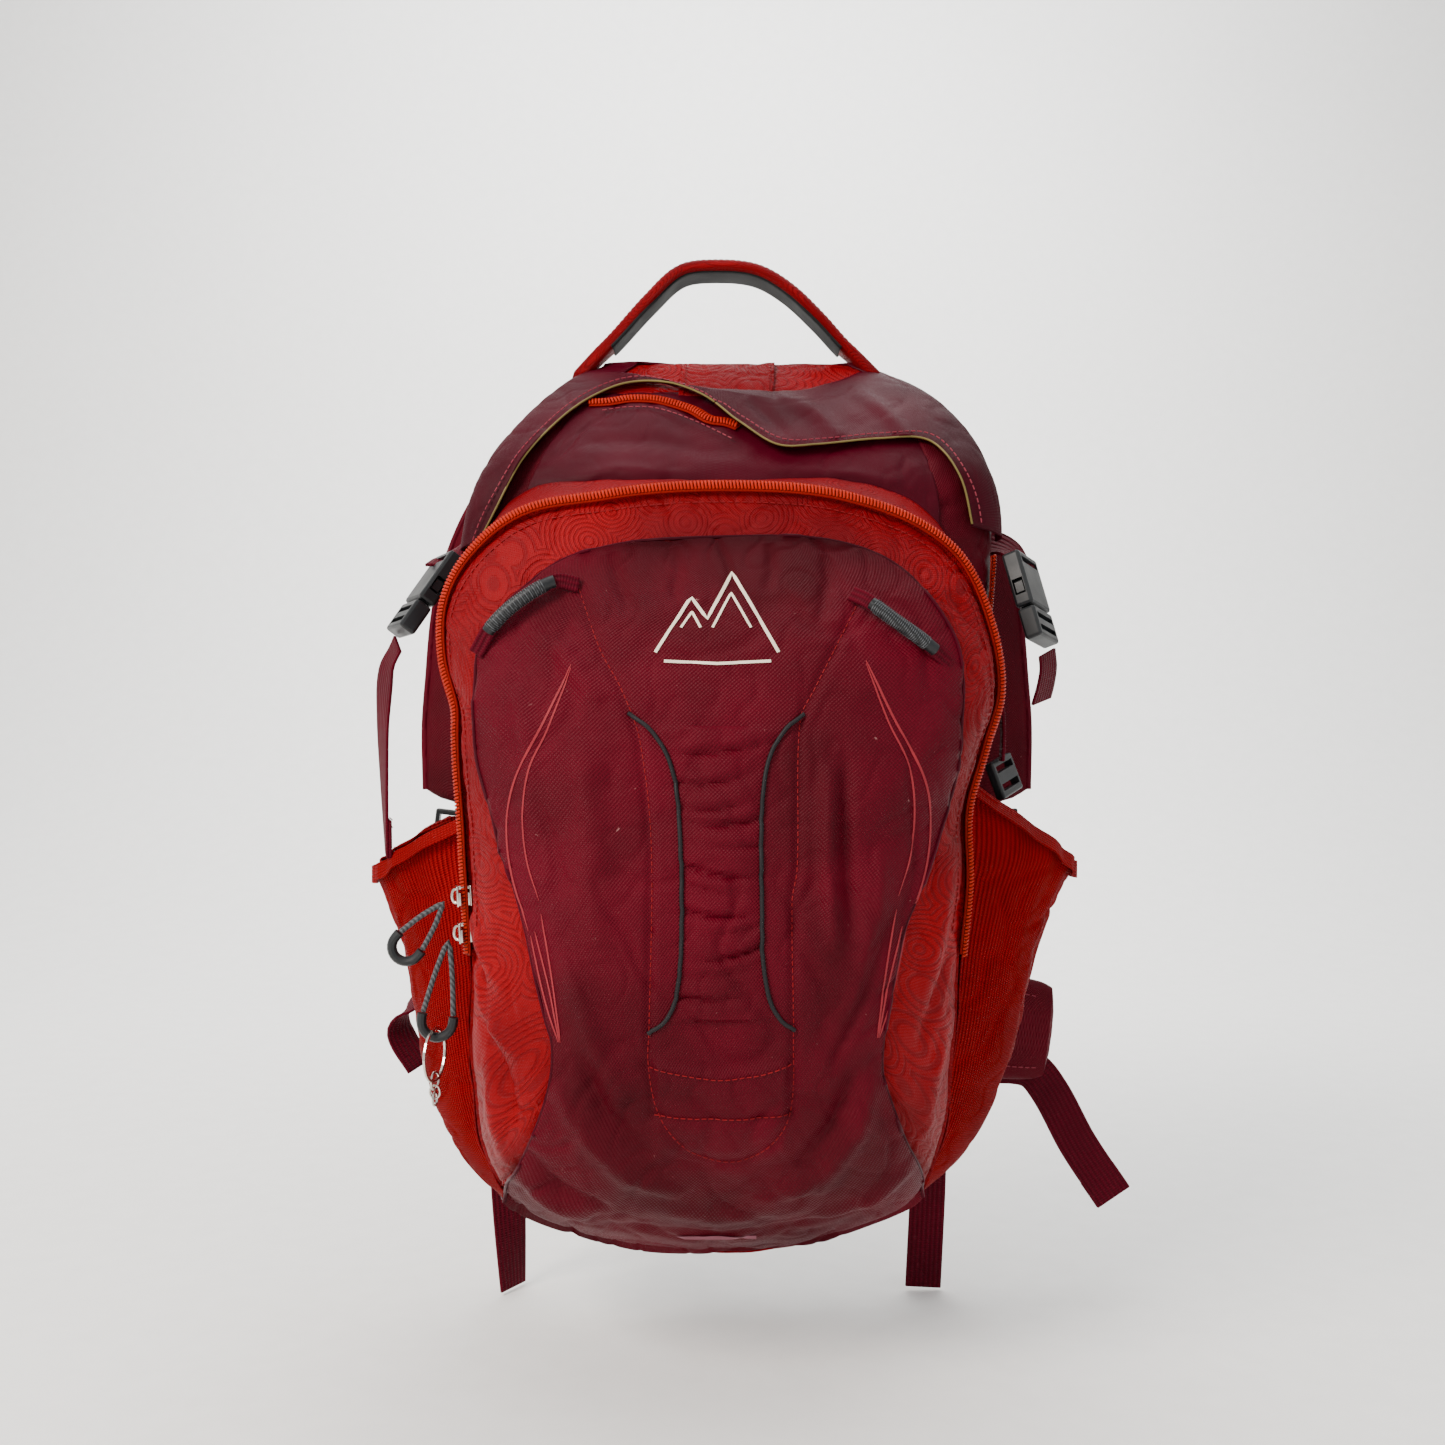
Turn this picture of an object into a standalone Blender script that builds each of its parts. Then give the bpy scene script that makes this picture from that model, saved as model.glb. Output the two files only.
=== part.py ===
"""Day pack that hangs by its haul handle: a zipped main bag, a zipped front pocket whose panel folds down,
two stretch side pockets, compression buckles, a padded harness and a hip belt.

X is to the right as the front is seen, Z is up and the front faces -Y. The origin is the point where a hook
meets the underside of the haul handle. Lengths are in metres.
"""

import math

import bmesh
import bpy
from mathutils import Matrix, Vector

# Driving dimensions
TOP_Z = -0.049  # top edge of the bag
BASE_Z = -0.518  # lowest point of the bag
BACK_Y = 0.012  # the face that the back pad is sewn to
WALL = 0.002  # fabric and its lining, as one wall
GAP = 0.0004  # between pieces that are sewn together
SEAM = 0.0014  # between the sides of the bag and its top and base
BOXINESS = 3.4  # exponent of the bag's plan section: 2 is an ellipse, more is squarer
HINGE_Z = -0.315  # line that the front pocket's panel folds down about
ZIP_END_Z = -0.356  # lower ends of the front pocket's zip
ZIP_R = 0.0022  # half thickness of a closed zip chain
ZIP_ROOM = 0.0052  # from the middle of the chain to the fabric beside it
SLIDER = (0.0094, 0.0125, 0.0068)  # across the chain, along it and outwards
WEBBING = 0.020  # width of every adjusting strap
WEBBING_THICK = 0.0016
HANDLE_ROOT_Z = -0.0455  # the line that the haul handle's ends bend about

# Half widths of the bag and its front face, as (height, value) knots from the base up
LEFT_HALF = [
    (-0.518, 0.050), (-0.505, 0.085), (-0.485, 0.107), (-0.45, 0.120), (-0.40, 0.126), (-0.30, 0.129),
    (-0.20, 0.131), (-0.14, 0.126), (-0.11, 0.1145), (-0.09, 0.1015), (-0.07, 0.0855), (-0.056, 0.071),
    (-0.049, 0.060),
]
RIGHT_HALF = [
    (-0.518, 0.045), (-0.505, 0.075), (-0.485, 0.098), (-0.45, 0.115), (-0.40, 0.124), (-0.30, 0.132),
    (-0.20, 0.139), (-0.14, 0.1425), (-0.11, 0.1355), (-0.09, 0.1265), (-0.07, 0.110), (-0.056, 0.093),
    (-0.049, 0.080),
]
MAIN_FRONT = [
    (-0.518, -0.030), (-0.50, -0.045), (-0.45, -0.058), (-0.30, -0.062), (-0.15, -0.066), (-0.118, -0.064),
    (-0.09, -0.043), (-0.07, -0.024), (-0.056, -0.010), (-0.049, -0.002),
]
# The front pocket's panel: how far forward its middle stands, and its outline (x, z) from the right side
CROWN = [
    (-0.518, -0.052), (-0.495, -0.105), (-0.45, -0.138), (-0.38, -0.148), (-0.28, -0.143), (-0.20, -0.133),
    (-0.16, -0.119), (-0.130, -0.099),
]
OUTLINE = [
    (0.1225, -0.315), (0.1225, -0.285), (0.131, -0.255), (0.138, -0.230), (0.133, -0.195), (0.119, -0.165),
    (0.098, -0.148), (0.064, -0.1355), (0.004, -0.130), (-0.055, -0.1345), (-0.095, -0.1425),
    (-0.121, -0.163), (-0.133, -0.185), (-0.134, -0.212), (-0.1275, -0.24), (-0.1243, -0.30),
    (-0.121, -0.36), (-0.1205, -0.42), (-0.117, -0.455), (-0.103, -0.483), (-0.072, -0.504),
    (-0.028, -0.514), (0.020, -0.517), (0.062, -0.505), (0.098, -0.484), (0.112, -0.45), (0.116, -0.41),
    (0.119, -0.36),
]

PALETTE = {
    "red_ripstop": ((0.52, 0.01, 0.01), 0.55, 0.0),
    "burgundy_nylon": ((0.15, 0.008, 0.022), 0.6, 0.0),
    "stretch_mesh": ((0.45, 0.01, 0.012), 0.8, 0.0),
    "webbing": ((0.16, 0.006, 0.018), 0.75, 0.0),
    "orange_zip": ((0.6, 0.06, 0.015), 0.5, 0.0),
    "grey_acetal": ((0.05, 0.055, 0.055), 0.45, 0.0),
    "grey_cord": ((0.12, 0.12, 0.12), 0.7, 0.0),
    "spacer_mesh": ((0.05, 0.045, 0.05), 0.9, 0.0),
    "frame_plastic": ((0.7, 0.7, 0.68), 0.4, 0.0),
    "plated_zinc": ((0.65, 0.62, 0.58), 0.25, 1.0),
}


def clear_scene():
    for obj in list(bpy.data.objects):
        bpy.data.objects.remove(obj)


def material(name):
    found = bpy.data.materials.get(name)
    if found:
        return found
    colour, roughness, metallic = PALETTE[name]
    made = bpy.data.materials.new(name)
    made.use_nodes = True
    shader = made.node_tree.nodes["Principled BSDF"]
    shader.inputs["Base Color"].default_value = (*colour, 1)
    shader.inputs["Roughness"].default_value = roughness
    shader.inputs["Metallic"].default_value = metallic
    return made


def finish(bm, name, finish_name, smooth_angle=40):
    """The bmesh as an object with its material, smooth where faces meet at under smooth_angle degrees."""
    mesh = bpy.data.meshes.new(name)
    bm.to_mesh(mesh)
    bm.free()
    mesh.shade_smooth()
    mesh.set_sharp_from_angle(angle=math.radians(smooth_angle))
    obj = bpy.data.objects.new(name, mesh)
    bpy.context.scene.collection.objects.link(obj)
    mesh.materials.append(material(finish_name))
    return obj


def smooth(knots, at):
    """Value at a place on a smooth curve through (place, value) knots, flat beyond its ends."""
    if at <= knots[0][0]:
        return knots[0][1]
    if at >= knots[-1][0]:
        return knots[-1][1]
    i = next(k for k in range(len(knots) - 1) if at <= knots[k + 1][0])
    (t0, v0), (t1, v1) = knots[i], knots[i + 1]
    before, after = knots[max(i - 1, 0)], knots[min(i + 2, len(knots) - 1)]
    slope0 = (v1 - before[1]) / (t1 - before[0])
    slope1 = (after[1] - v0) / (after[0] - t0)
    h = t1 - t0
    s = (at - t0) / h
    return (
        (2 * s**3 - 3 * s**2 + 1) * v0
        + (s**3 - 2 * s**2 + s) * h * slope0
        + (3 * s**2 - 2 * s**3) * v1
        + (s**3 - s**2) * h * slope1
    )


def curve_through(points, steps):
    """A smooth open run of steps + 1 points through the given ones, evenly spaced by length."""
    points = [Vector(p) for p in points]
    run = [0.0]
    for a, b in zip(points, points[1:]):
        run.append(run[-1] + (b - a).length)
    knots = [[(r, p[k]) for r, p in zip(run, points)] for k in range(3)]
    return [Vector([smooth(knots[k], run[-1] * i / steps) for k in range(3)]) for i in range(steps + 1)]


# Shapes of the bag


def shell_point(degrees, z):
    """Outer surface of the main bag: 0 degrees is its right side, 90 its back, 270 its front."""
    a = math.radians(degrees)
    half = smooth(RIGHT_HALF if math.cos(a) >= 0 else LEFT_HALF, z)
    front = smooth(MAIN_FRONT, z)
    power = 2 / BOXINESS
    x = half * math.copysign(abs(math.cos(a)) ** power, math.cos(a))
    depth = math.copysign(abs(math.sin(a)) ** power, math.sin(a))
    return Vector((x, (BACK_Y + front) / 2 + depth * (BACK_Y - front) / 2, z))


def shell_normal(degrees, z):
    """Outward normal of the main bag there."""
    round_it = shell_point(degrees + 1, z) - shell_point(degrees - 1, z)
    up_it = shell_point(degrees, z + 0.001) - shell_point(degrees, z - 0.001)
    return round_it.cross(up_it).normalized()


def polar_outline():
    """OUTLINE as (degrees, radius) about the middle of the fold line, repeated either side of a full turn."""
    turned = []
    for x, z in OUTLINE:
        degrees = math.degrees(math.atan2(z - HINGE_Z, x)) % 360
        turned.append((degrees, math.hypot(x, z - HINGE_Z)))
    turned.sort()
    before = [(d - 360, r) for d, r in turned[-2:]]
    after = [(d + 360, r) for d, r in turned[:2]]
    return before + turned + after


POLAR = polar_outline()


def rim_y(z):
    """Where the front pocket's rim stands: steady along the sides, further back under the base."""
    return smooth([(-0.518, -0.044), (-0.48, -0.068), (-0.42, -0.084), (-0.36, -0.0875), (-0.19, -0.0875),
                   (-0.13, -0.097)], z)


def front_point(degrees, share, inset=0.0):
    """Outer face of the front pocket: share 0 is the middle of its fold line and 1 its inset edge."""
    radius = share * (smooth(POLAR, degrees % 360) - inset)
    a = math.radians(degrees)
    x, z = radius * math.cos(a), HINGE_Z + radius * math.sin(a)
    crown = min(smooth(CROWN, z), rim_y(z) - 0.001)
    dome = max(0.0, 1 - share**3.2) ** 0.62
    return Vector((x, rim_y(z) + (crown - rim_y(z)) * dome, z))


def room_at(degrees):
    """Gap from the rim line to the fabric beside it: wide beside the zip, small where the fabric is sewn."""
    z = front_point(degrees, 1).z
    return ZIP_ROOM if z > ZIP_END_Z - 0.004 else GAP


def sheet(name, shape, columns, rows, thickness, inside, finish_name):
    """A fabric wall: a grid bent to shape(u, v) and thickened towards the point called inside."""
    bm = bmesh.new()
    bmesh.ops.create_grid(bm, x_segments=columns, y_segments=rows, size=0.5)
    for vert in bm.verts:
        vert.co = shape(vert.co.x + 0.5, vert.co.y + 0.5)
    bmesh.ops.remove_doubles(bm, verts=bm.verts, dist=1e-5)
    bm.normal_update()
    inside = Vector(inside)
    outward = sum((f.calc_center_median() - inside).normalized().dot(f.normal) for f in bm.faces)
    if outward < 0:
        bmesh.ops.reverse_faces(bm, faces=bm.faces)
    obj = finish(bm, name, finish_name)
    wall = obj.modifiers.new("wall", "SOLIDIFY")
    wall.thickness = thickness
    wall.offset = -1
    return obj


def band(name, path, width, across, thickness, finish_name, steps=12):
    """A flat strap along a path. across gives its width direction at the start and at the end."""
    line = curve_through(path, steps)
    first, last = (Vector(a).normalized() for a in across)

    def shape(u, v):
        i = round(u * steps)
        side = first.lerp(last, u).normalized()
        return line[i] + side * (width if isinstance(width, float) else smooth(width, u)) * (v - 0.5)

    obj = sheet(name, shape, steps, 1, thickness, (0, 5, 0), finish_name)
    obj.modifiers["wall"].offset = 0
    return obj


def tube(name, path, radius, finish_name, steps=24, rings=3):
    line = curve_through(path, steps)
    data = bpy.data.curves.new(name, "CURVE")
    data.dimensions = "3D"
    data.bevel_depth = radius
    data.bevel_resolution = rings
    data.use_fill_caps = True
    spline = data.splines.new("POLY")
    spline.points.add(len(line) - 1)
    for point, place in zip(spline.points, line):
        point.co = (*place, 1)
    obj = bpy.data.objects.new(name, data)
    bpy.context.scene.collection.objects.link(obj)
    data.materials.append(material(finish_name))
    return obj


def block(name, size, finish_name, centre=(0, 0, 0), bevel=0.0):
    """A box with its long edges rounded over by a Bevel modifier."""
    bm = bmesh.new()
    bmesh.ops.create_cube(bm, size=1)
    bmesh.ops.scale(bm, vec=Vector(size), verts=bm.verts)
    bmesh.ops.translate(bm, vec=Vector(centre), verts=bm.verts)
    obj = finish(bm, name, finish_name)
    if bevel:
        rounding = obj.modifiers.new("rounding", "BEVEL")
        rounding.width = bevel
        rounding.segments = 2
    return obj


def combine(obj, other, operation):
    """A Boolean with a helper that isn't part of the object."""
    other.hide_render = True
    other.display_type = "WIRE"
    cut = obj.modifiers.new(operation.lower(), "BOOLEAN")
    cut.operation = operation
    cut.object = other
    return obj


def pivot(name, place, turned=None):
    """An empty on a joint's axis. turned is the matrix of the frame that the joint lies in."""
    empty = bpy.data.objects.new("pivot_" + name, None)
    bpy.context.scene.collection.objects.link(empty)
    empty.matrix_world = Matrix.Translation(Vector(place)) @ (turned or Matrix.Identity(4))
    return empty


def carry(parent, *children):
    """The children keep their place and move with the parent."""
    bpy.context.view_layer.update()
    for child in children:
        child.parent = parent
        child.matrix_parent_inverse = parent.matrix_world.inverted()


def facing(place, along, outward):
    """Frame at a place with +Y along, +Z as near outward as it can be, and +X across."""
    y = Vector(along).normalized()
    x = y.cross(Vector(outward)).normalized()
    z = x.cross(y)
    turn = Matrix((x, y, z)).transposed().to_4x4()
    return Matrix.Translation(Vector(place)) @ turn


# The main bag


def main_bag():
    middle = (0, -0.025, -0.28)

    def wall(start, end, low, high):
        return lambda u, v: shell_point(start + (end - start) * u, low + (high - low) * v)

    low, shoulder, hood_base = -0.505, -0.0725, -0.118
    sheet("rear_panel", wall(53, 127, low, shoulder), 6, 9, WALL, middle, "burgundy_nylon")
    sheet("side_gusset_right", wall(-48, 51, low, shoulder), 7, 10, WALL, middle, "burgundy_nylon")
    sheet("side_gusset_left", wall(129, 228, low, shoulder), 7, 10, WALL, middle, "burgundy_nylon")
    sheet("pocket_divider", wall(231, 309, low, hood_base - SEAM), 5, 8, WALL, middle, "red_ripstop")
    sheet("hood_front", wall(231, 309, hood_base, shoulder), 6, 4, WALL, middle, "burgundy_nylon")

    def capped(edge_z, end_z, end_share):
        """A ring of the bag's section that closes over at its end."""

        def shape(u, v):
            z = edge_z + (end_z - edge_z) * min(v / end_share, 1)
            point = shell_point(360 * u, z)
            middle_y = (BACK_Y + smooth(MAIN_FRONT, z)) / 2
            shrink = 1 - max(0.0, (v - end_share) / (1 - end_share))
            return Vector((point.x * shrink, middle_y + (point.y - middle_y) * shrink, z))

        return shape

    sheet("top_yoke", capped(shoulder + SEAM, TOP_Z, 0.75), 24, 4, WALL, middle, "red_ripstop")
    sheet("base_panel", capped(low - SEAM, BASE_Z, 0.5), 24, 4, WALL, middle, "burgundy_nylon")
    block("frame_sheet", (0.15, 0.0016, 0.36), "frame_plastic", (0.003, 0.0040, -0.285), 0.0006)


def main_zip():
    """The closed chain of the main zip, up the left side, across and down the right, and its flap."""
    stations = [(186, -0.245), (188.5, -0.20), (193, -0.155), (207, -0.112), (236, -0.0835), (270, -0.0775),
                (304, -0.0835), (333, -0.112), (347, -0.155), (351.5, -0.20), (354, -0.245)]
    lift = WALL * 0.5 + ZIP_R + 0.0010
    path = [shell_point(*at) + shell_normal(*at) * lift for at in stations]
    tube("main_zip_chain", path, ZIP_R * 0.6, "orange_zip", 40, 2)

    steps = 12
    top = stations[3:8]
    line = curve_through([path[k] for k in range(3, 8)], steps)

    def cover(u, v):
        i = round(u * steps)
        degrees = smooth([(k / 4, d) for k, (d, _) in enumerate(top)], u)
        z = smooth([(k / 4, h) for k, (_, h) in enumerate(top)], u)
        out = shell_normal(degrees, z)
        along = (line[min(i + 1, steps)] - line[max(i - 1, 0)]).normalized()
        return line[i] + out * (0.0054 + 0.0020 * v) + out.cross(along) * (0.018 * v - 0.002)

    sheet("rain_flap", cover, steps, 1, 0.0012, (0, -0.025, -0.28), "burgundy_nylon")
    return path


# The front pocket


def front_pocket():
    middle = (0, -0.06, -0.30)

    def panel(start, end, shift):
        def shape(u, v):
            degrees = start + (end - start) * u
            return front_point(degrees, v, room_at(degrees)) + Vector((0, 0, shift))

        return shape

    half_gap = 0.0008
    flap = sheet("front_flap", panel(0, 180, half_gap), 20, 7, WALL, middle, "red_ripstop")
    sheet("front_lower_panel", panel(180, 360, -half_gap), 20, 7, WALL, middle, "burgundy_nylon")

    def gusset(u, v):
        degrees = 360 * u
        rim = front_point(degrees, 1)
        seam_y = smooth(MAIN_FRONT, max(rim.z, BASE_Z + 0.001)) - WALL - GAP
        front_y = rim.y + max(1.5 * room_at(degrees), 2 * WALL)
        return Vector((rim.x, front_y + (max(seam_y, front_y + 0.004) - front_y) * v, rim.z))

    sheet("front_gusset", gusset, 40, 1, WALL * 0.75, middle, "red_ripstop")

    zip_rim = [front_point(degrees, 1) for degrees in range(-18, 200, 4)]
    rim_run = [p for p in zip_rim if p.z > ZIP_END_Z]
    tube("front_zip_chain", rim_run, ZIP_R, "orange_zip", 46, 2)

    crease = front_point(0, 0).y - 0.0006
    hinge = pivot("front_flap", (0, crease, HINGE_Z))
    carry(hinge, flap)
    return hinge


def tool_loops(hinge):
    """A webbing loop in a moulded sleeve at each upper corner of the front panel."""
    for side, spans in (
        ("left", [(-0.112, -0.212), (-0.103, -0.1985), (-0.090, -0.187), (-0.0745, -0.1785),
                  (-0.064, -0.180)]),
        ("right", [(0.0620, -0.184), (0.0685, -0.1875), (0.081, -0.197), (0.094, -0.206), (0.108, -0.2165)]),
    ):
        path = []
        for i, (x, z) in enumerate(spans):
            arch = math.sin(math.pi * i / (len(spans) - 1))
            path.append(on_front(x, z) + Vector((0, -0.0022 - 0.0050 * arch, 0)))
        line = curve_through(path, 16)
        sleeve = as_mesh(tube("tool_loop_" + side, line[3:14], 0.0034, "grey_acetal", 7, 2))
        cord = as_mesh(tube("loop_cord_" + side, path, 0.0016, "webbing", 12, 2))
        carry(hinge, combine(sleeve, cord, "UNION"))


def as_mesh(obj):
    """The curve object made into a mesh object of the same name, so that a Boolean can use it."""
    graph = bpy.context.evaluated_depsgraph_get()
    name = obj.name
    mesh = bpy.data.meshes.new_from_object(obj.evaluated_get(graph))
    bpy.data.objects.remove(obj)
    made = bpy.data.objects.new(name, mesh)
    bpy.context.scene.collection.objects.link(made)
    bm = bmesh.new()
    bm.from_mesh(mesh)
    bmesh.ops.remove_doubles(bm, verts=bm.verts, dist=1e-6)
    bm.to_mesh(mesh)
    bm.free()
    return made


def on_front(x, z):
    """Point on the outside of the front pocket at that place."""
    degrees = math.degrees(math.atan2(z - HINGE_Z, x)) % 360
    share = math.hypot(x, z - HINGE_Z) / smooth(POLAR, degrees)
    return front_point(degrees, min(share, 1))


# Zip sliders and their pulls


def slider(name, place, along, outward):
    """A zip slider: a body round the chain, with the chain's way through it bored out."""
    frame = facing(place, along, outward)
    body = block(name, SLIDER, "plated_zinc", bevel=0.0010)
    way = block(name + "_way", (0.0058, 0.02, 0.0052), "plated_zinc")
    combine(body, way, "DIFFERENCE")
    way.matrix_world = frame
    body.matrix_world = frame
    return body


def pull(name, top, reach, spread, lean):
    """A cord loop from a slider down to a moulded U-shaped grip. lean turns it about Y, in degrees."""
    turn = Matrix.Translation(Vector(top)) @ Matrix.Rotation(math.radians(lean), 4, "Y")
    neck = reach - spread

    def place(x, z):
        return turn @ Vector((x, 0, z))

    left = [(-spread * 0.96, -neck + 0.0004), (-spread * 0.6, -neck * 0.55), (-0.0012, -0.006), (0, -0.0032)]
    cord_path = [place(x, z) for x, z in left] + [place(-x, z) for x, z in reversed(left[:-1])]
    cord = tube(name + "_cord", cord_path, 0.0013, "grey_cord", 22, 2)
    arc = [(spread * math.cos(a), -neck - 0.0035 + spread * math.sin(a)) for a in
           (math.radians(d) for d in range(180, 361, 20))]
    ends = [(-spread, -neck - 0.0004)] + arc + [(spread, -neck - 0.0004)]
    grip = tube(name + "_grip", [place(x, z) for x, z in ends], 0.0024, "grey_acetal", 16, 3)
    return cord, grip


def ring(name, centre, radius, wire, turned):
    """A round ring of spring wire."""
    bm = bmesh.new()
    bmesh.ops.create_circle(bm, segments=6, radius=wire)
    bmesh.ops.rotate(bm, cent=(0, 0, 0), matrix=Matrix.Rotation(math.pi / 2, 3, "X"), verts=bm.verts)
    bmesh.ops.translate(bm, vec=(radius, 0, 0), verts=bm.verts)
    bmesh.ops.spin(bm, geom=bm.verts[:] + bm.edges[:], cent=(0, 0, 0), axis=(0, 0, 1), angle=2 * math.pi,
                   steps=20, use_merge=True)
    bmesh.ops.recalc_face_normals(bm, faces=bm.faces)
    obj = finish(bm, name, "plated_zinc")
    obj.matrix_world = Matrix.Translation(Vector(centre)) @ turned
    return obj


def zip_hardware(main_path):
    rim = [front_point(d, 1) for d in (180, 196)]
    run = (rim[0] - rim[1]).normalized()
    outward = (-0.97, -0.25, 0)
    for name, z, travel_lean, reach, spread in (
        ("upper", -0.3277, 40, 0.034, 0.0070),
        ("lower", -0.3455, 8, 0.046, 0.0076),
    ):
        at = rim[0] + (rim[0] - rim[1]) * ((z - rim[0].z) / (rim[0].z - rim[1].z))
        body = slider("front_slider_" + name, at, run, outward)
        top = at + Vector((-0.0070, -0.0060, -0.0005))
        cord, grip = pull("front_pull_" + name, top, reach, spread, travel_lean)
        travel = pivot("front_slider_" + name, at, facing((0, 0, 0), run, outward))
        swing = pivot("front_pull_" + name, top)
        carry(travel, body)
        carry(swing, cord, grip)
        carry(travel, swing)
        if name == "lower":
            turn = Matrix.Rotation(math.radians(travel_lean), 4, "Y")
            grip_foot = top + (turn @ Vector((0, 0, -reach - 0.0035)))
            hang = pivot("key_ring", grip_foot)
            edge_on = Matrix.Rotation(math.radians(78), 4, "Z") @ Matrix.Rotation(math.pi / 2, 4, "X")
            ring_centre = grip_foot + Vector((0, 0, -0.0084))
            carry(hang, ring("key_ring", ring_centre, 0.0125, 0.0009, edge_on))
            carry(swing, hang)
    end = main_path[-1]
    up = (main_path[-2] - main_path[-1]).normalized()
    right = (0.98, -0.2, 0)
    at = end + up * 0.010
    body = slider("main_slider", at, up, right)
    top = at + Vector((0.0064, -0.0010, -0.0005))
    tab = band("main_pull", [top, top + Vector((0.0008, 0, -0.014)), top + Vector((0.0014, 0, -0.028))],
               0.0080, ((0, 1, 0), (0, 1, 0)), 0.0020, "grey_cord", 4)
    travel = pivot("main_slider", at, facing((0, 0, 0), up, right))
    swing = pivot("main_pull", top)
    carry(travel, body)
    carry(swing, tab)
    carry(travel, swing)


# Side pockets


def side_pocket(name, side, corner_out):
    """A stretch pouch: sewn down its front and rear edges, shut at its foot, its mouth sagging."""
    foot = -0.494
    bulge = [(foot, 0.009), (-0.47, 0.018), (-0.42, 0.027), (-0.365, 0.033), (-0.335, 0.041), (-0.31, 0.050),
             (-0.285, 0.044)]

    def shape(u, v):
        mouth = -0.286 - 0.030 * math.sin(math.pi * min(u * 1.15, 1)) - 0.010 * u
        z = foot + (mouth - foot) * v
        degrees = 82 * u - 42
        point = shell_point(degrees if side > 0 else 180 - degrees, z)
        out = (smooth(bulge, z) + corner_out * v) * math.sin(math.pi * u) ** 0.75
        off = Matrix.Rotation(math.radians(degrees), 3, "Z") @ Vector((0.0036, 0, 0))
        return point + Vector((side * (off.x + out), off.y, 0))

    return sheet(name, shape, 9, 8, 0.0014, (0, -0.025, -0.4), "stretch_mesh")


# Buckles


def female_buckle(name, frame, scale=1.0):
    """Socket of a side-release buckle: a flat sleeve with a window in each side and a webbing slot."""
    s = scale
    body = block(name, (0.0270 * s, 0.0300 * s, 0.0095 * s), "grey_acetal", (0, -0.0040 * s, 0), 0.0016 * s)
    hollow = block(name + "_hollow", (0.0225 * s, 0.0220 * s, 0.0055 * s), "grey_acetal", (0, 0.0040 * s, 0))
    windows = block(name + "_windows", (0.0320 * s, 0.0085 * s, 0.0057 * s), "grey_acetal",
                    (0, 0.0005 * s, 0))
    slot = block(name + "_slot", (0.0210 * s, 0.0034 * s, 0.0200 * s), "grey_acetal", (0, -0.0140 * s, 0))
    for cutter in (hollow, windows, slot):
        combine(body, cutter, "DIFFERENCE")
        cutter.matrix_world = frame
    body.matrix_world = frame
    return body


def male_buckle(name, frame, scale=1.0, tongue=True):
    """Plug of a side-release buckle: a shoulder with ladder slots for the webbing, and a guide tongue."""
    s = scale
    body = block(name, (0.0265 * s, 0.0165 * s, 0.0090 * s), "grey_acetal", (0, 0.0203 * s, 0), 0.0014 * s)
    for y in (0.0172, 0.0238):
        slot = block(name + "_slot", (0.0210 * s, 0.0030 * s, 0.0200 * s), "grey_acetal", (0, y * s, 0))
        combine(body, slot, "DIFFERENCE")
        slot.matrix_world = frame
    if tongue:
        guide = block(name + "_tongue", (0.0050 * s, 0.0180 * s, 0.0030 * s), "grey_acetal",
                      (0, 0.0050 * s, 0))
        combine(body, guide, "UNION")
        guide.matrix_world = frame
    body.matrix_world = frame
    return body


def prong(name, frame, side, scale=1.0):
    """One sprung arm of a side-release buckle, from its root on the plug to its head in the socket."""
    s = scale
    outline = [(0.0058, 0.0112), (0.0092, 0.0112), (0.0096, 0.0050), (0.0128, 0.0035), (0.0128, -0.0020),
               (0.0098, -0.0050), (0.0075, -0.0050), (0.0072, 0.0030)]
    bm = bmesh.new()
    verts = [bm.verts.new((side * x * s, y * s, -0.0021 * s)) for x, y in outline]
    face = bm.faces.new(verts)
    made = bmesh.ops.extrude_face_region(bm, geom=[face])
    top = [v for v in made["geom"] if isinstance(v, bmesh.types.BMVert)]
    bmesh.ops.translate(bm, vec=(0, 0, 0.0042 * s), verts=top)
    bmesh.ops.recalc_face_normals(bm, faces=bm.faces)
    obj = finish(bm, name, "grey_acetal")
    obj.matrix_world = frame
    return obj


def ladder_lock(name, frame, scale):
    """A two-bar buckle that webbing is threaded through."""
    lock = block(name, (0.0260 * scale, 0.0200 * scale, 0.0050 * scale), "grey_acetal", bevel=0.0010)
    for y in (-0.0052, 0.0045):
        slot = block(name + "_slot", (0.0208 * scale, 0.0036 * scale, 0.02), "grey_acetal", (0, y * scale, 0))
        combine(lock, slot, "DIFFERENCE")
        slot.matrix_world = frame
    lock.matrix_world = frame
    return lock


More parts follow.
